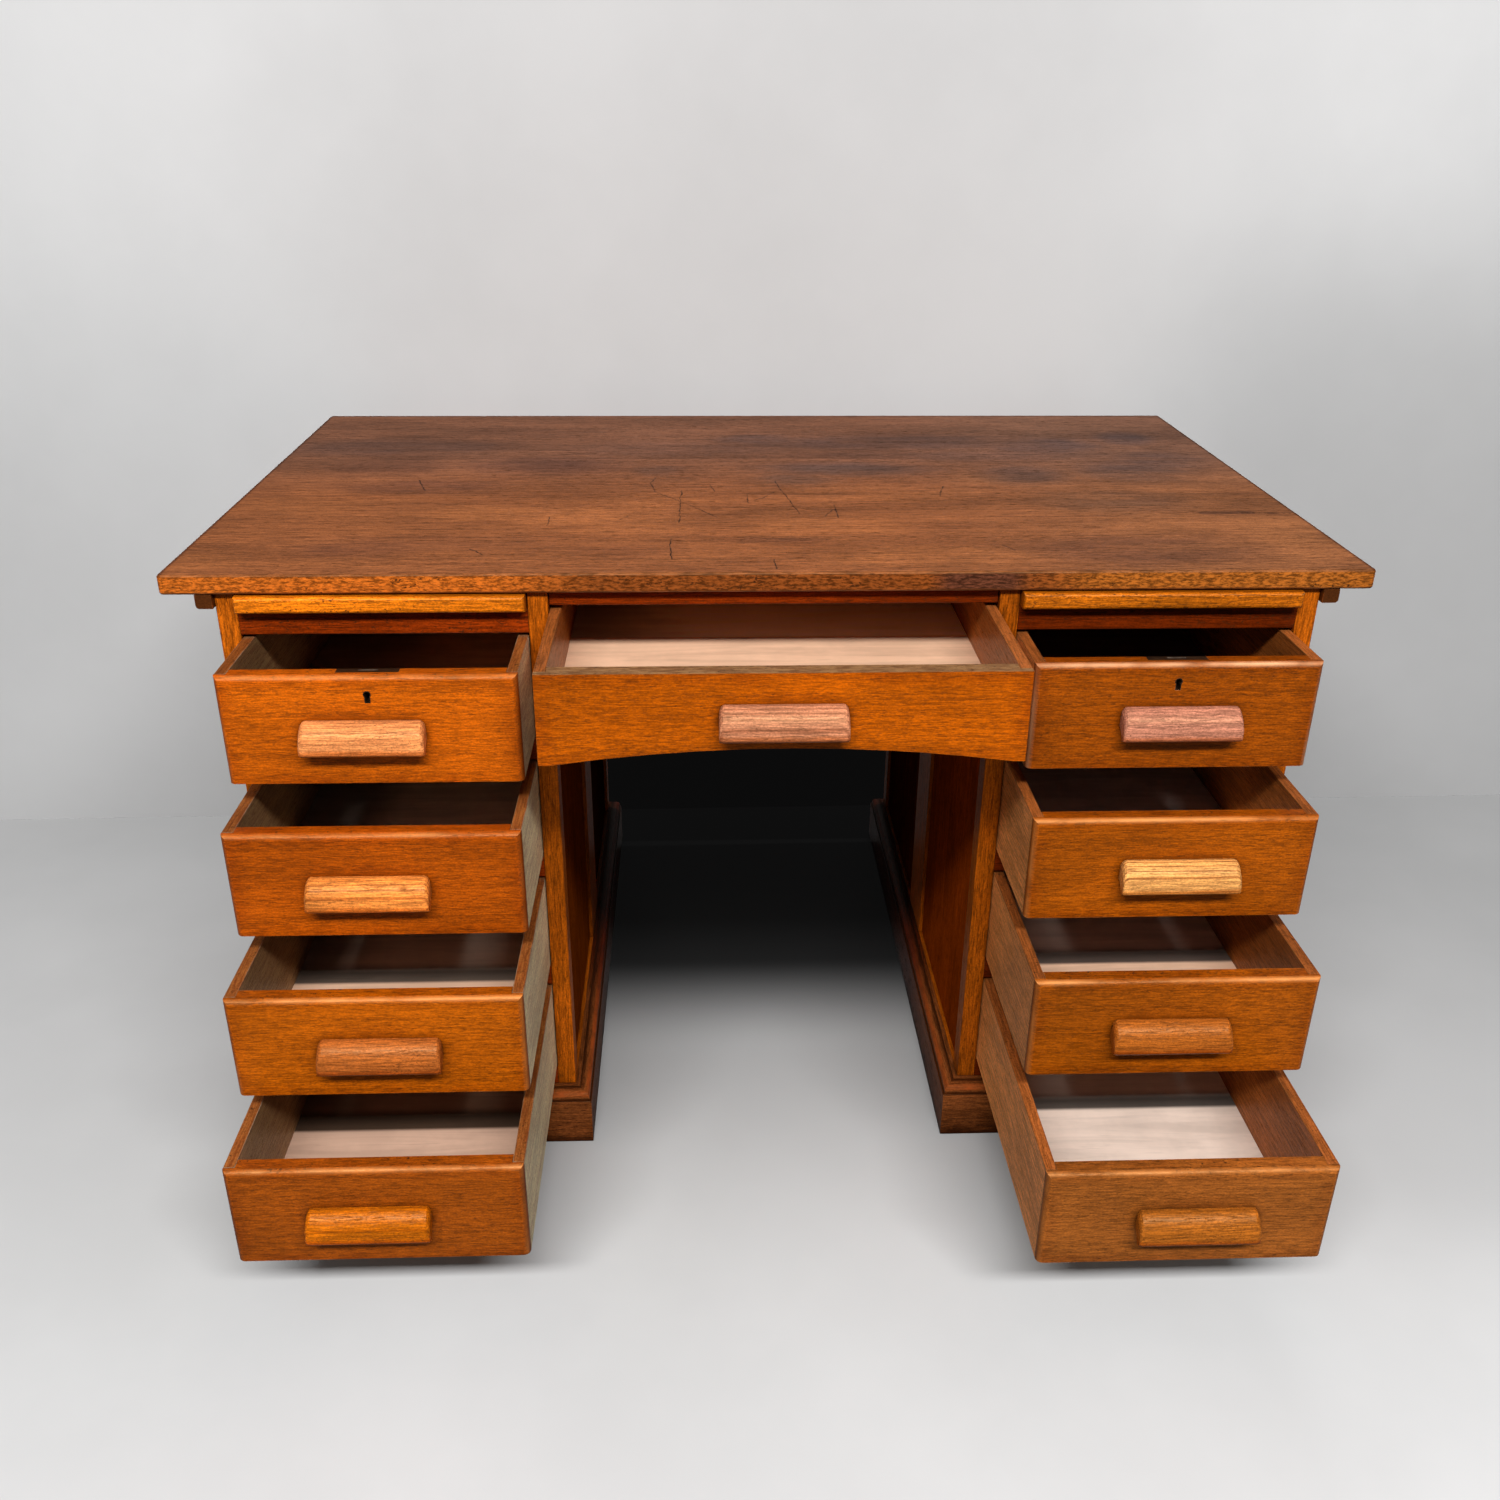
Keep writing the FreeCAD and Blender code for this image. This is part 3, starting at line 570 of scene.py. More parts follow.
def desktop_marks(work, timber, colour):
    """Stains, scuffed places, scratches and a knot of the desktop, painted sheen that greys it towards the back
    and the right, and the brighter finish of its edge.
    """
    low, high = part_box("desktop_planks")
    place = work.place()
    x, y, _ = work.axes(place)
    clouds = work.noise(place, (3.0, 8.0, 8.0), 3.0)
    colour = work.lighten(colour, work.fade(clouds, 0.3, 0.7, 0.84, 1.14))
    streaks = work.fade(work.noise(place, (7.0, 150.0, 150.0), 3.0, 0.6), 0.5, 0.68, 0.0, 0.4)
    colour = work.tint(streaks, colour, (0.5, 0.42, 0.42))
    # Painted sheen: greyer and bluer towards the back, and a little towards the right.
    colour = work.tint(work.fade(y, 60 * MM, 330 * MM), colour, (0.76, 0.93, 1.5))
    colour = work.tint(work.fade(x, 120 * MM, 480 * MM), colour, (0.95, 1.06, 1.2))
    colour = desktop_patches(work, place, colour, high.z)
    colour = desktop_borders(work, place, colour, low, high)
    colour = desktop_knot(work, place, colour, high.z)
    colour = desktop_scratches(work, place, colour, high.z)
    side = work.fade(work.mark("stain"), 0.35, 0.8)
    return work.blend(side, colour, desktop_edge(work, place, x))


def foot_grime_and_shade(work, timber, colour):
    """The plinth is darker towards the floor at knocks, has painted shade in its grooves, along its foot and
    inside the kneehole, and a painted highlight on the round of its moulding.
    """
    place = work.place()
    x, y, z = work.axes(place)
    knocks = work.fade(work.noise(place, (26.0, 26.0, 60.0), 4.0, 0.7), 0.35, 0.65, 0.2, 0.9)
    low = work.fade(z, 60 * MM, 4 * MM, 0.15, 1.0)
    colour = work.tint(work.times(low, knocks), colour, (0.3, 0.24, 0.22))
    # Painted shade in the grooves of the moulding and along the very foot.
    grooves = work.most(work.band(z, 63.5 * MM, 65 * MM, 67 * MM, 69 * MM),
                        work.band(z, 76.8 * MM, 77.6 * MM, 78 * MM, 79 * MM))
    dark = work.most(work.fade(z, 16 * MM, 3 * MM), grooves)
    colour = work.tint(work.times(dark, 0.75), colour, (0.16, 0.1, 0.1))
    # Painted highlight on the round of the moulding, weaker at knocks.
    rubbed = work.band(z, 69 * MM, 72 * MM, 74.5 * MM, 76.8 * MM)
    colour = work.blend(work.times(rubbed, work.fade(knocks, 0.2, 0.9, 0.9, 0.3)), colour, ink(168, 76, 28))
    # Painted shade inside the kneehole.
    inside = work.times(work.fade(work.math("ABSOLUTE", x), 0.27, 0.25), work.fade(y, -0.12, 0.1))
    return work.tint(inside, colour, (0.3, 0.18, 0.14))


def grip_marks(name):
    """A pull has dark growth lines or speckled pores, and is darker and more orange along its foot."""
    foot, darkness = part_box(name + "_pull")[0].z, DRAWER_LOOKS[name].growth_lines

    def add_marks(work, timber, colour):
        place = work.place()
        sockets = {"Vector": work.stretch(timber, (0.12, 1.0, 1.0)), "Scale": 78.0, "Distortion": 1.2,
                   "Detail": 2.0, "Detail Scale": 0.5}
        lines = work.add("TexWave", sockets, wave_type="BANDS", bands_direction="Z").outputs["Fac"]
        thin = work.times(work.fade(lines, 0.3, 0.0), darkness)
        colour = work.tint(thin, colour, (0.42, 0.26, 0.18))
        ragged = work.times(work.noise(place, (20.0, 60.0, 60.0), 3.0, 0.6), 8 * MM)
        height = work.sum(work.axes(place)[UP], ragged)
        darker_foot = work.fade(height, foot + 14 * MM, foot + 9 * MM)
        colour = work.tint(work.times(darker_foot, 0.8), colour, (0.82, 0.56, 0.3))
        return specks(work, place, colour, PIT_BROWN, 0.8 - 0.6 * darkness, 0.5)
    return add_marks


def kneehole_shade(work, timber, colour):
    """Painted shade on the panels inside the kneehole: darker and redder than the outer ones, most of all deep
    inside.
    """
    x, y, _ = work.axes(work.place())
    tint = work.blend(work.fade(x, -0.1, 0.1), (0.55, 0.5, 0.4), (0.9, 0.66, 0.45))
    tint = work.lighten(tint, work.fade(y, 0.12, 0.28, 1.0, 0.35))
    return work.tint(work.fade(work.math("ABSOLUTE", x), 0.40, 0.36), colour, tint)


def lip_specks(work, timber, colour):
    """Dark specks all over a rail or a lipping."""
    return specks(work, work.place(), colour, PIT_BROWN, 0.9)


def ply(drawer):
    """Pale sheet of a drawer floor with faint wavy figure, dusty in patches, and painted shadow and painted
    light over its back part.
    """
    work, body = Finish(drawer + " floor ply"), DRAWER_LOOKS[drawer].floor
    place = work.place()
    waves = work.noise(place, (3.0, 26.0, 26.0), 4.0, 0.6, 1.2)
    colour = work.blend(work.fade(waves, 0.35, 0.65), shade(body, 1.05), shade(body, 0.86))
    figure = work.fade(work.noise(place, (9.0, 150.0, 150.0), 3.0, 0.7, 0.4), 0.58, 0.72, 0.0, 0.35)
    colour = work.blend(figure, colour, shade(body, 0.6))
    colour = work.lighten(colour, work.fade(work.noise(place, 12.0, 4.0, 0.7), 0.35, 0.7, 0.92, 1.04))
    x, y, _ = work.axes(place)
    begins, thins, painted_shading, corner = FLOOR_PAINTED_SHADOWS[drawer]
    # Painted shadow: a dark band from begins to thins, then the tint behind it, and a painted darker left
    # corner.
    tint = work.blend(work.fade(y, (thins - 9) * MM, (thins + 12) * MM), shade(painted_shading, 0.12), painted_shading)
    if corner:
        darkest, clear = corner
        tint = work.blend(work.fade(x, clear * MM, darkest * MM, 0.0, 0.75), tint, shade(painted_shading, 0.1))
    colour = work.tint(work.fade(y, (begins - 4) * MM, (begins + 3) * MM), colour, tint)
    work.feed(work.shader.inputs["Specular IOR Level"], 0.1)
    height = work.noise(place, (40.0, 500.0, 500.0), 3.0, 0.6)
    return work.surface(colour, height, 0.6, 0.75, 0.15, 0.2 * MM)


def lock_metal(name, body):
    """Dull old metal, brown with tarnish."""
    work = Finish(name)
    tarnish = work.noise(work.place(), 160.0, 4.0, 0.65)
    colour = work.blend(work.fade(tarnish, 0.35, 0.65), shade(body, 1.3), shade(body, 0.45))
    work.feed(work.shader.inputs["Metallic"], 0.6)
    return work.surface(colour, tarnish, 0.4, 0.65, 0.2, 0.2 * MM)


CARCASS = oak("carcass oak", ink(176, 86, 10), gloss=0.15)
# Rail oak is darker and redder than the carcass oak: painted shade under the slides and the desktop, and a
# redder finish.
SHADED_RAIL = oak("rail oak", ink(124, 42, 4), tone=0.25, gloss=0.15, extra=lip_specks)
PANEL = oak("panel oak", ink(158, 74, 12), gloss=0.0, extra=kneehole_shade)
PLINTH = oak("plinth oak", ink(128, 69, 31), contrast=1.2, worn=ink(176, 88, 36), wear_and_highlight=0.8, gloss=0.1,
             painted_shading=0.9, painted_shading_reach=5 * MM, extra=foot_grime_and_shade)
SIDE_WEAR = {"worn": ink(190, 120, 60), "wear_and_highlight": 0.3, "tone": 1.0, "pores": 0.3, "gloss": 0.1, "painted_shading": 0.3}
# The left drawers' sides are made paler still: painted light on their sides that face the kneehole.
LEFT_SIDES = oak("left drawer side oak", ink(252, 214, 172), **SIDE_WEAR,
                 extra=stained_top((0.32, 0.115, 0.04), (0.31, 0.2, 0.135)))
RIGHT_SIDES = oak("right drawer side oak", ink(220, 142, 80), **SIDE_WEAR,
                  extra=stained_top((0.42, 0.3, 0.21), (0.42, 0.31, 0.2)))
SLIDE = oak("slide oak", ink(214, 112, 14), contrast=1.2, worn=ink(250, 176, 96), tone=0.2, extra=lip_specks)
TOP = oak("desktop oak", ink(154, 89, 48), contrast=0.9, worn=ink(176, 104, 58), wear_and_highlight=0.5, tone=0.08,
          gloss=0.2, extra=desktop_marks)
RUNNER = oak("runner oak", ink(150, 104, 66), lie=(0, 0, math.radians(90)))
LOCK = lock_metal("lock iron", ink(54, 36, 20))
BOLT = lock_metal("bolt steel", ink(110, 100, 88))


# ---------------------------------------------------------------- carcass
def make_desktop():
    """Five planks with rounded corners and edges."""
    low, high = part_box("desktop_planks")
    top = Piece()
    top.block(low, high)
    upright = [edge for edge in top.mesh.edges if abs((edge.verts[0].co - edge.verts[1].co).z) > MM]
    bmesh.ops.bevel(top.mesh, geom=upright, offset=DESKTOP_CORNER, offset_type="OFFSET", segments=5,
                    profile=0.5, affect="EDGES", material=-1, clamp_overlap=True)
    rims = [edge for edge in top.mesh.edges if abs((edge.verts[0].co - edge.verts[1].co).z) < MM
            and abs(sum(abs(face.normal.z) for face in edge.link_faces) - 1) < 0.1]
    top.ease(rims, DESKTOP_ARRIS, 4)
    seams = plank_seams(low.y, high.y)
    for y in seams:
        parts = [*top.mesh.verts, *top.mesh.edges, *top.mesh.faces]
        bmesh.ops.bisect_plane(top.mesh, geom=parts, dist=0.001 * MM, plane_co=(0, y, 0), plane_no=(0, 1, 0))
    for y_low, y_high in zip([low.y, *seams], [*seams, high.y]):
        top.stamp([face for face in top.mesh.faces if y_low < face.calc_center_median().y < y_high], ACROSS)
    for face in top.mesh.faces:
        for loop in face.loops:
            loop[top.stain] = 1 - abs(face.normal.z)
            loop[top.end] = 0.0
    top.done("desktop", "carcass", TOP, "desktop_planks")


def make_frame(side):
    """Posts, muntins and rails of one pedestal."""
    low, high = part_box(side + "_pedestal_frame")
    y_middle = (low.y + high.y) / 2
    rail_heights = ((low.z, PLINTH_HEIGHT), (high.z - TOP_RAIL, high.z))
    work = Piece()
    for x_low in (low.x, high.x - POST_WIDTH):
        x_high = x_low + POST_WIDTH
        # The right pedestal's posts on the kneehole side are made darker (tone -2.4): painted shade.
        tone = -2.4 if x_low == low.x and side == "right" else 0.6
        for y_low in (low.y, high.y - POST_DEPTH):
            work.board((x_low, y_low, low.z), (x_high, y_low + POST_DEPTH, high.z), UP, tone)
        work.board((x_low, y_middle - MUNTIN_WIDTH / 2, PLINTH_HEIGHT),
                   (x_high, y_middle + MUNTIN_WIDTH / 2, high.z - TOP_RAIL), UP)
        for z_low, z_high in rail_heights:
            work.board((x_low, low.y + POST_DEPTH, z_low), (x_high, high.y - POST_DEPTH, z_high), DEEP)
    for z_low, z_high in rail_heights:
        work.board((low.x + POST_WIDTH, high.y - BACK_RAIL, z_low),
                   (high.x - POST_WIDTH, high.y, z_high), ACROSS)
    work.done(side + "_frame", "carcass", CARCASS, side + "_pedestal_frame")


def plinth_section():
    """Points of the plinth's section, out from the frame and up from the floor, from the top inwards: a step,
    a quarter round, a fillet and the upright board."""
    step_out, moulding_foot, round_steps = 0.26 * PLINTH_OUT, PLINTH_HEIGHT - MOULDING, 8
    points = [(0.0, PLINTH_HEIGHT), (step_out, PLINTH_HEIGHT), (step_out, PLINTH_HEIGHT - 0.16 * MOULDING)]
    for step in range(1, round_steps + 1):
        turn = math.radians(90 - 90 * step / round_steps)
        out, down = 0.26 + 0.64 * math.cos(turn), 0.82 - 0.66 * math.sin(turn)
        points.append((out * PLINTH_OUT, PLINTH_HEIGHT - down * MOULDING))
    return [*points, (0.90 * PLINTH_OUT, moulding_foot), (PLINTH_OUT - PLINTH_ARRIS, moulding_foot),
            (PLINTH_OUT, moulding_foot - PLINTH_ARRIS), (PLINTH_OUT, 2 * MM), (PLINTH_OUT - 2 * MM, 0.0),
            (0.0, 0.0)]


def make_plinth(side):
    """Moulded boards round the foot of a pedestal, mitred at the corners."""
    low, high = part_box(side + "_plinth")
    x_frame = (low.x + PLINTH_OUT, high.x - PLINTH_OUT)
    y_frame = (low.y + PLINTH_OUT, high.y - PLINTH_OUT)
    corners = ((0, 0), (1, 0), (1, 1), (0, 1))
    work = Piece()
    for place, corner in enumerate(corners):
        ends = []
        for x_end, y_end in (corner, corners[(place + 1) % 4]):
            ring = []
            for out, height in plinth_section():
                x = x_frame[x_end] + (out if x_end else -out)
                y = y_frame[y_end] + (out if y_end else -out)
                ring.append(work.mesh.verts.new((x, y, height)))
            ends += [work.mesh.edges.new(pair) for pair in zip(ring, ring[1:] + ring[:1])]
        bmesh.ops.bridge_loops(work.mesh, edges=ends)
        work.stamp(work.fresh(), ACROSS if place % 2 == 0 else DEEP)
    bmesh.ops.remove_doubles(work.mesh, verts=work.mesh.verts, dist=SAME_PLACE)
    bmesh.ops.recalc_face_normals(work.mesh, faces=work.mesh.faces)
    work.done(side + "_plinth_boards", "carcass", PLINTH, side + "_plinth")


def make_copied(name, body, material, node, grain, tone=None):
    """Piece with the shape of the node, its arrises eased."""
    work = Piece()
    work.solids_of(node, grain, tone)
    work.done(name, body, material, node)


# ---------------------------------------------------------------- drawers
def arc_centre(first, second, third):
    """Middle of the circle through three points of a section."""
    x1, y1, x2, y2, x3, y3 = *first, *second, *third
    across = 2 * (x1 * (y2 - y3) + x2 * (y3 - y1) + x3 * (y1 - y2))
    squares = x1 * x1 + y1 * y1, x2 * x2 + y2 * y2, x3 * x3 + y3 * y3
    x = (squares[0] * (y2 - y3) + squares[1] * (y3 - y1) + squares[2] * (y1 - y2)) / across
    y = (squares[0] * (x3 - x2) + squares[1] * (x1 - x3) + squares[2] * (x2 - x1)) / across
    return Vector((x, y))


def draw_pull_section(work, low, high):
    """Face at the pull's left end, bounded by its arcs and the straight lines between them."""
    def point(share):
        return Vector((high.y + share[0] * (low.y - high.y), low.z + share[1] * (high.z - low.z)))

    first = last = work.mesh.verts.new((low.x, *point((0.0, 1.0))))
    for shares, steps in PULL_SECTION:
        ends = [point(share) for share in shares]
        start = work.mesh.verts.new((low.x, *ends[0]))
        work.mesh.edges.new((last, start))
        centre = arc_centre(*ends)
        turn = -(ends[0] - centre).angle_signed(ends[2] - centre)
        made = bmesh.ops.spin(work.mesh, geom=[start], cent=(low.x, *centre), axis=(1, 0, 0), angle=turn,
                              steps=steps)
        last = made["geom_last"][0]
    work.mesh.edges.new((last, first))
    bmesh.ops.remove_doubles(work.mesh, verts=work.mesh.verts, dist=SAME_PLACE)
    return bmesh.ops.contextual_create(work.mesh, geom=work.mesh.edges[:])["faces"]


def make_pull(name):
    """Scooped pull: its section is drawn out from end to end, with rounded shoulders."""
    low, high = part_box(name + "_pull")
    material = oak(name + " grip oak", DRAWER_LOOKS[name].grip, worn=WORN_HIGHLIT_PINK, wear_and_highlight=0.5, pores=0.6,
                   end_grain=0.3, extra=grip_marks(name))
    work = Piece()
    section = draw_pull_section(work, low, high)
    foot = Matrix.Translation((0, -high.y, -low.z))
    shoulder = [(SHOULDER * (1 - math.sin(turn)), math.cos(turn)) for turn in map(math.radians, SHOULDER_TURNS)]
    stations = [(low.x + out, size) for out, size in shoulder]
    stations += [(high.x - out, size) for out, size in reversed(shoulder)]
    x_last, size_last, verts = low.x, None, work.mesh.verts[:]
    for x, size in stations:
        deep, tall = 1 - SHOULDER_SHALLOWER * (1 - size), 1 - SHOULDER_LOWER * (1 - size)
        if size_last:
            moved = bmesh.ops.extrude_face_region(work.mesh, geom=section)["geom"]
            verts = [part for part in moved if isinstance(part, bmesh.types.BMVert)]
            section = [part for part in moved if isinstance(part, bmesh.types.BMFace)]
            bmesh.ops.translate(work.mesh, vec=(x - x_last, 0, 0), verts=verts)
            bmesh.ops.scale(work.mesh, vec=(1, deep / size_last[0], tall / size_last[1]), space=foot,
                            verts=verts)
        else:
            bmesh.ops.scale(work.mesh, vec=(1, deep, tall), space=foot, verts=verts)
        x_last, size_last = x, (deep, tall)
    bmesh.ops.recalc_face_normals(work.mesh, faces=work.mesh.faces)
    work.ease([edge for edge in work.mesh.edges
               if all(min(vertex.co.x - low.x, high.x - vertex.co.x) < 0.1 * MM for vertex in edge.verts)],
              PULL_ARRIS)
    work.stamp(work.fresh(), ACROSS)
    work.done(name + "_grip", name, material, name + "_pull")


def make_drawer_box(name):
    """Two sides and a back."""
    low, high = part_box(name + "_box")
    work = Piece()
    for x_low in (low.x, high.x - DRAWER_SIDE):
        tone = chance.uniform(-0.1, 0.1)
        work.board((x_low, low.y, low.z), (x_low + DRAWER_SIDE, high.y, high.z), DEEP, tone)
    # The back board is made darker (tone -0.4): painted shade deep inside the drawer.
    work.board((low.x + DRAWER_SIDE, high.y - DRAWER_SIDE, low.z + DRAWER_FLOOR_TOP),
               (high.x - DRAWER_SIDE, high.y, high.z - DRAWER_BACK_DROP), ACROSS, -0.4)
    middle = (low.x + high.x) / 2
    for face in work.mesh.faces:
        across = face.calc_center_median().x - middle
        outside = abs(face.normal.x) > 0.5 and face.normal.x * across > 0
        for loop in face.loops:
            loop[work.stain] = 1.0 if face.normal.z > 0.3 else 0.0 if outside else 0.5
    material = LEFT_SIDES if name.startswith("left") else RIGHT_SIDES
    work.done(name + "_sides", name, material, name + "_box")


def make_drawer_face(name):
    """Moulded front with its rounded edges scuffed and given a painted highlight."""
    look = DRAWER_LOOKS[name]
    finish = oak(name + " face oak", look.face, contrast=0.85, wear_and_highlight=look.rubbed, pores=0.6, pore_length=0.6,
                 worn=WORN_HIGHLIT_PINK if name == "right_top_drawer" else WORN_HIGHLIT_ORANGE, painted_shading=0.85,
                 painted_shading_reach=10 * MM, extra=drawer_face_marks(name))
    work = Piece()
    work.solids_of(name + "_front", ACROSS)
    work.mark_roundings_for_wear_and_highlight()
    for face in work.mesh.faces:
        for loop in face.loops:
            loop[work.stain] = max(face.normal.z, 0.0)
    work.done(name + "_face", name, finish, name + "_front")


def make_drawer(name):
    make_drawer_box(name)
    make_drawer_face(name)
    make_pull(name)
    keep(name + "_floor", ply(name))


make_desktop()
# The battens under the desktop are made much darker (tone -5): painted shade.
make_copied("side_battens", "carcass", PLINTH, "top_battens", DEEP, -5.0)
make_copied("front_rail_over_kneehole", "carcass", SHADED_RAIL, "centre_top_rail", ACROSS)
make_copied("back_rail_of_kneehole", "carcass", CARCASS, "centre_back_rail", ACROSS)
keep("centre_drawer_runners", RUNNER)
for side in SIDES:
    front_tone, slide = 0.6 if side == "left" else -1.6, side + "_writing_slide"
    make_frame(side)
    make_plinth(side)
    make_copied(side + "_panels", "carcass", PANEL, side + "_pedestal_panels", UP)
    make_copied(side + "_rails", "carcass", SHADED_RAIL, side + "_front_rails", ACROSS, front_tone)
    keep(side + "_drawer_runners", RUNNER)
    make_copied(side + "_slide_leaf", slide, SLIDE, side + "_slide_board", ACROSS)
    make_copied(side + "_slide_lip", slide, SLIDE, side + "_slide_lipping", ACROSS, front_tone)
    keep(side + "_drawer_lock", LOCK)
    keep(side + "_lock_bolt", BOLT)
    for tier in TIERS:
        make_drawer(side + "_" + tier + "_drawer")
make_drawer("centre_drawer")


# ---------------------------------------------------------------- room, light and camera
WALL_Y, WALL_TURN = 0.68, math.radians(0.7)
ROOM_HALF, WALL_HEIGHT = 9.0, 8.0
FLAG_HALF, FLAG_Y, FLAG_HEIGHT = 0.29, 0.54, 0.62
SKY_LIGHT, SKY_SEEN = 0.12, 0.8
LENS, SENSOR = 33.128, 36.0
EYE_PLACE = (-0.083208, -1.619834, 1.223231)
EYE_TURNS = ((-2.328, "Z"), (-25.61, "X"), (-0.465, "Y"), (90, "X"))


def room_plane(name, low, high, material):
    """Flat rectangle between two corners, facing up or to the front."""
    mesh = bmesh.new()
    edge = mesh.edges.new((mesh.verts.new(low), mesh.verts.new((high[0], low[1], low[2]))))
    moved = bmesh.ops.extrude_edge_only(mesh, edges=[edge])["geom"]
    bmesh.ops.translate(mesh, vec=(0, high[1] - low[1], high[2] - low[2]),
                        verts=[part for part in moved if isinstance(part, bmesh.types.BMVert)])
    for face in mesh.faces:
        face.normal_update()
        if face.normal.z < -0.5 or face.normal.y > 0.5:
            face.normal_flip()
    bmesh.ops.rotate(mesh, verts=mesh.verts, cent=(0, WALL_Y, 0), matrix=Matrix.Rotation(WALL_TURN, 3, "Z"))
    made = new_object(name, mesh, material)
    return made


def plaster(work, near, far, share, light):
    """Pale, faintly clouded plaster, with painted shadow and a faint painted glow behind and under the
    kneehole. It throws less light back than the camera sees."""
    place = work.place()
    x, y, z = axes = work.axes(place)
    clouds = work.fade(work.noise(place, 1.6, 5.0, 0.6), 0.3, 0.7, 0.96, 1.04)
    pale = work.lighten(work.lighten(work.blend(share(axes), far, near), clouds), light(axes))
    # Painted shadow behind and under the kneehole: inside marks where, deep and behind how dark.
    inside = work.times(work.fade(work.math("ABSOLUTE", x), 0.42, 0.28), work.fade(z, 0.75, 0.4))
    inside = work.times(inside, work.fade(y, 0.95, 0.7))
    deep = work.sum(work.fade(y, -0.50, 0.0, 0.0, 0.27), work.fade(y, -0.045, 0.18, 0.0, 0.72))
    # A faint painted glow inside that painted shadow.
    glow = work.times(inside, work.fade(deep, 0.6, 0.99, 0.0, 0.0033))
    work.feed(work.shader.inputs["Emission Strength"], glow)
    work.feed(work.shader.inputs["Emission Color"], (1.0, 1.0, 1.0))
    behind = work.fade(y, 0.45, 0.56)
    black = work.blend(behind, (0.008, 0.008, 0.008), (0.0, 0.0, 0.0))
    pale = work.blend(work.times(inside, work.most(deep, behind)), pale, black)
    seen = work.add("LightPath", {}).outputs["Is Camera Ray"]
    work.feed(work.shader.inputs["Base Color"], work.blend(seen, ink(110, 110, 110), pale))
    work.feed(work.shader.inputs["Roughness"], 0.8)
    work.feed(work.shader.inputs["Specular IOR Level"], 0.1)
    return seen


def mix_in(work, share, other):
    """Show another shader in place of the plaster where share is one."""
    shown = work.add("MixShader", {0: share, 1: work.shader.outputs[0], 2: other.outputs[0]})
    work.feed(work.tree.nodes["Material Output"].inputs["Surface"], shown.outputs[0])


def floor_finish():
    """Floor that turns into the plain pale surroundings far from the desk."""
    work = Finish("floor plaster")

    # Painted light on the floor: paler near the front, greyer towards the wall, and darker at the front right.
    def share(axes):
        return work.fade(axes[DEEP], 0.4, -1.2)

    def light(axes):
        right = work.times(work.fade(axes[ACROSS], 0.5, 0.8), work.fade(axes[DEEP], -0.6, -0.25))
        return work.fade(right, 0.0, 1.0, 1.0, 0.84)

    seen = plaster(work, ink(222, 222, 222), ink(192, 192, 192), share, light)
    far = work.fade(work.vector("LENGTH", work.place()), 2.4, 4.5)
    mix_in(work, work.times(seen, far), work.add("Emission", {"Strength": SKY_SEEN}))
    return work.material


def wall_finish():
    """Wall that only a camera in front of it sees, so that light reaches the desk's back."""
    work = Finish("wall plaster")

    def share(axes):
        return work.fade(axes[UP], 0.1, 0.7)

    # Painted light on the wall: brighter high up towards both sides, darker low on the right.
    def light(axes):
        x, _, z = axes
        corners = work.fade(work.math("ABSOLUTE", x), 0.4, 0.95, 0.0, 0.18)
        corners = work.times(work.fade(z, 0.65, 1.2), corners)
        right = work.times(work.fade(z, 1.2, 0.8), work.fade(x, 0.5, 0.95, 0.0, 0.14))
        return work.sum(1.0, work.math("SUBTRACT", corners, right))

    seen = plaster(work, ink(205, 205, 205), ink(209, 209, 209), share, light)
    back = work.add("NewGeometry", {}).outputs["Backfacing"]
    front = work.math("SUBTRACT", seen, back, use_clamp=True)
    mix_in(work, work.math("SUBTRACT", 1.0, front), work.add("BsdfTransparent", {}))
    return work.material


def flag_finish():
    """Black cloth."""
    work = Finish("flag cloth")
    work.feed(work.shader.inputs["Base Color"], (0.01, 0.01, 0.01))
    return work.material


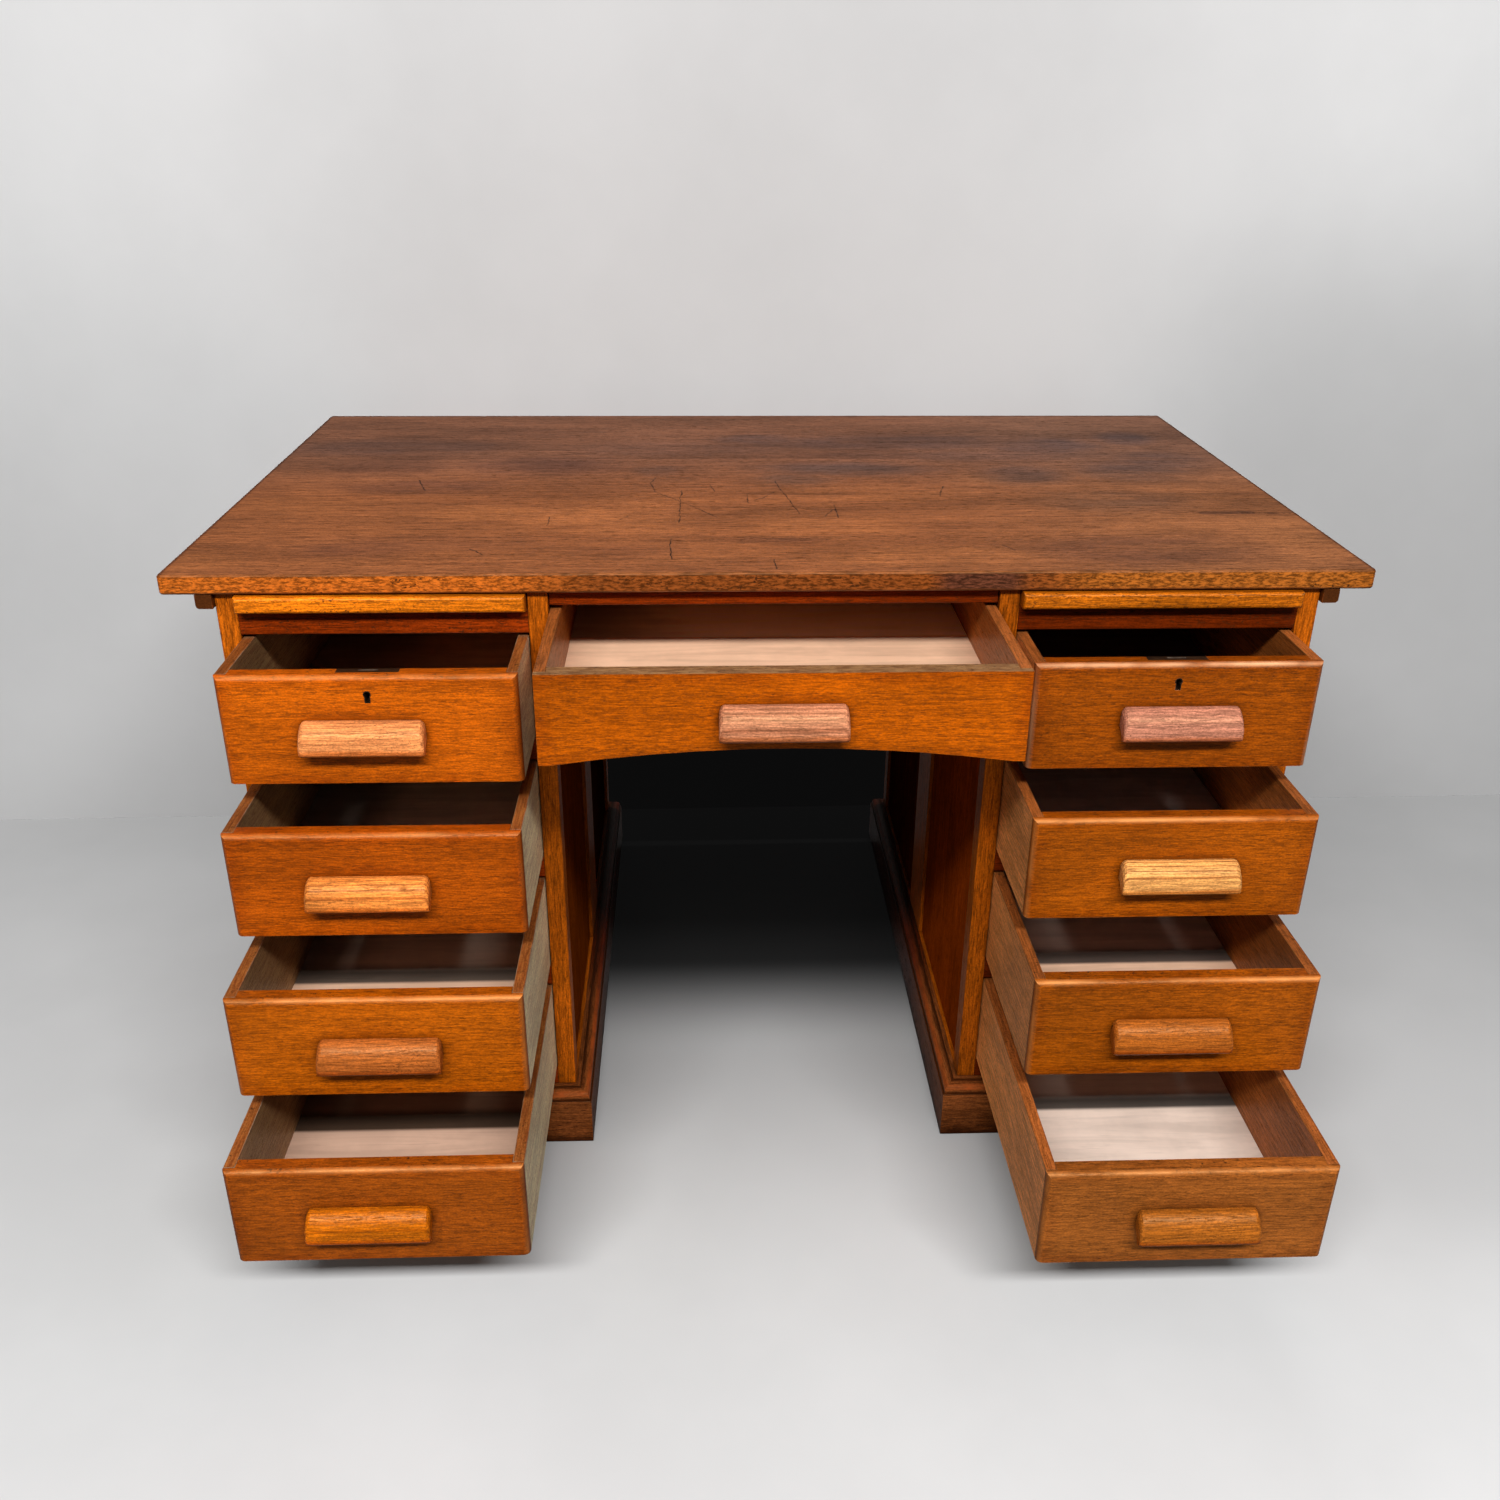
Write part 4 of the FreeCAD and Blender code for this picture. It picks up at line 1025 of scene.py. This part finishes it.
def add_sky():
    """Plain surroundings that light the desk less than a camera sees of them."""
    world = bpy.data.worlds.new("studio")
    world.use_nodes = True
    nodes, links = world.node_tree.nodes, world.node_tree.links
    seen, glow = nodes.new("ShaderNodeLightPath"), nodes.new("ShaderNodeMapRange")
    links.new(seen.outputs["Is Camera Ray"], glow.inputs["Value"])
    glow.inputs["To Min"].default_value, glow.inputs["To Max"].default_value = SKY_LIGHT, SKY_SEEN
    links.new(glow.outputs["Result"], nodes["Background"].inputs["Strength"])
    nodes["Background"].inputs["Color"].default_value = (1.0, 1.0, 1.0, 1.0)
    bpy.context.scene.world = world


def add_lamp(name, place, target, width, height, watts):
    """Soft rectangular lamp that shines from its place to the target."""
    lamp = bpy.data.lights.new(name, "AREA")
    lamp.shape, lamp.size, lamp.size_y, lamp.energy = "RECTANGLE", width, height, watts
    holder = bpy.data.objects.new(name, lamp)
    bpy.context.scene.collection.objects.link(holder)
    holder.location = place
    holder.rotation_mode = "QUATERNION"
    holder.rotation_quaternion = (Vector(target) - Vector(place)).to_track_quat("-Z", "Y")
    return holder


def add_camera():
    """Camera at the height of a standing person's chest, a little left of the desk's middle."""
    eye = bpy.data.cameras.new("camera")
    eye.sensor_width = eye.sensor_height = SENSOR
    eye.lens = LENS
    holder = bpy.data.objects.new("camera", eye)
    bpy.context.scene.collection.objects.link(holder)
    turned = Matrix.Translation(EYE_PLACE)
    for degrees, axis in EYE_TURNS:
        turned = turned @ Matrix.Rotation(math.radians(degrees), 4, axis)
    holder.matrix_world = turned
    bpy.context.scene.camera = holder


room_plane("floor", (-ROOM_HALF, -ROOM_HALF, 0), (ROOM_HALF, ROOM_HALF, 0), floor_finish())
room_plane("wall", (-ROOM_HALF, WALL_Y, 0), (ROOM_HALF, WALL_Y, WALL_HEIGHT), wall_finish())
flag = room_plane("flag", (-FLAG_HALF, FLAG_Y, 0.0), (FLAG_HALF, FLAG_Y, FLAG_HEIGHT), flag_finish())
flag.visible_camera = flag.visible_glossy = False
add_sky()
bpy.context.scene.view_settings.view_transform = "Standard"
add_lamp("long front softbox", (0, -3.3, 3.65), (0, -0.2, 0.4), 4.6, 0.5, 300)
add_lamp("back softbox", (0.4, 3.4, 2.6), (0, 0.5, 0.4), 2.4, 1.4, 50).visible_glossy = False
add_camera()
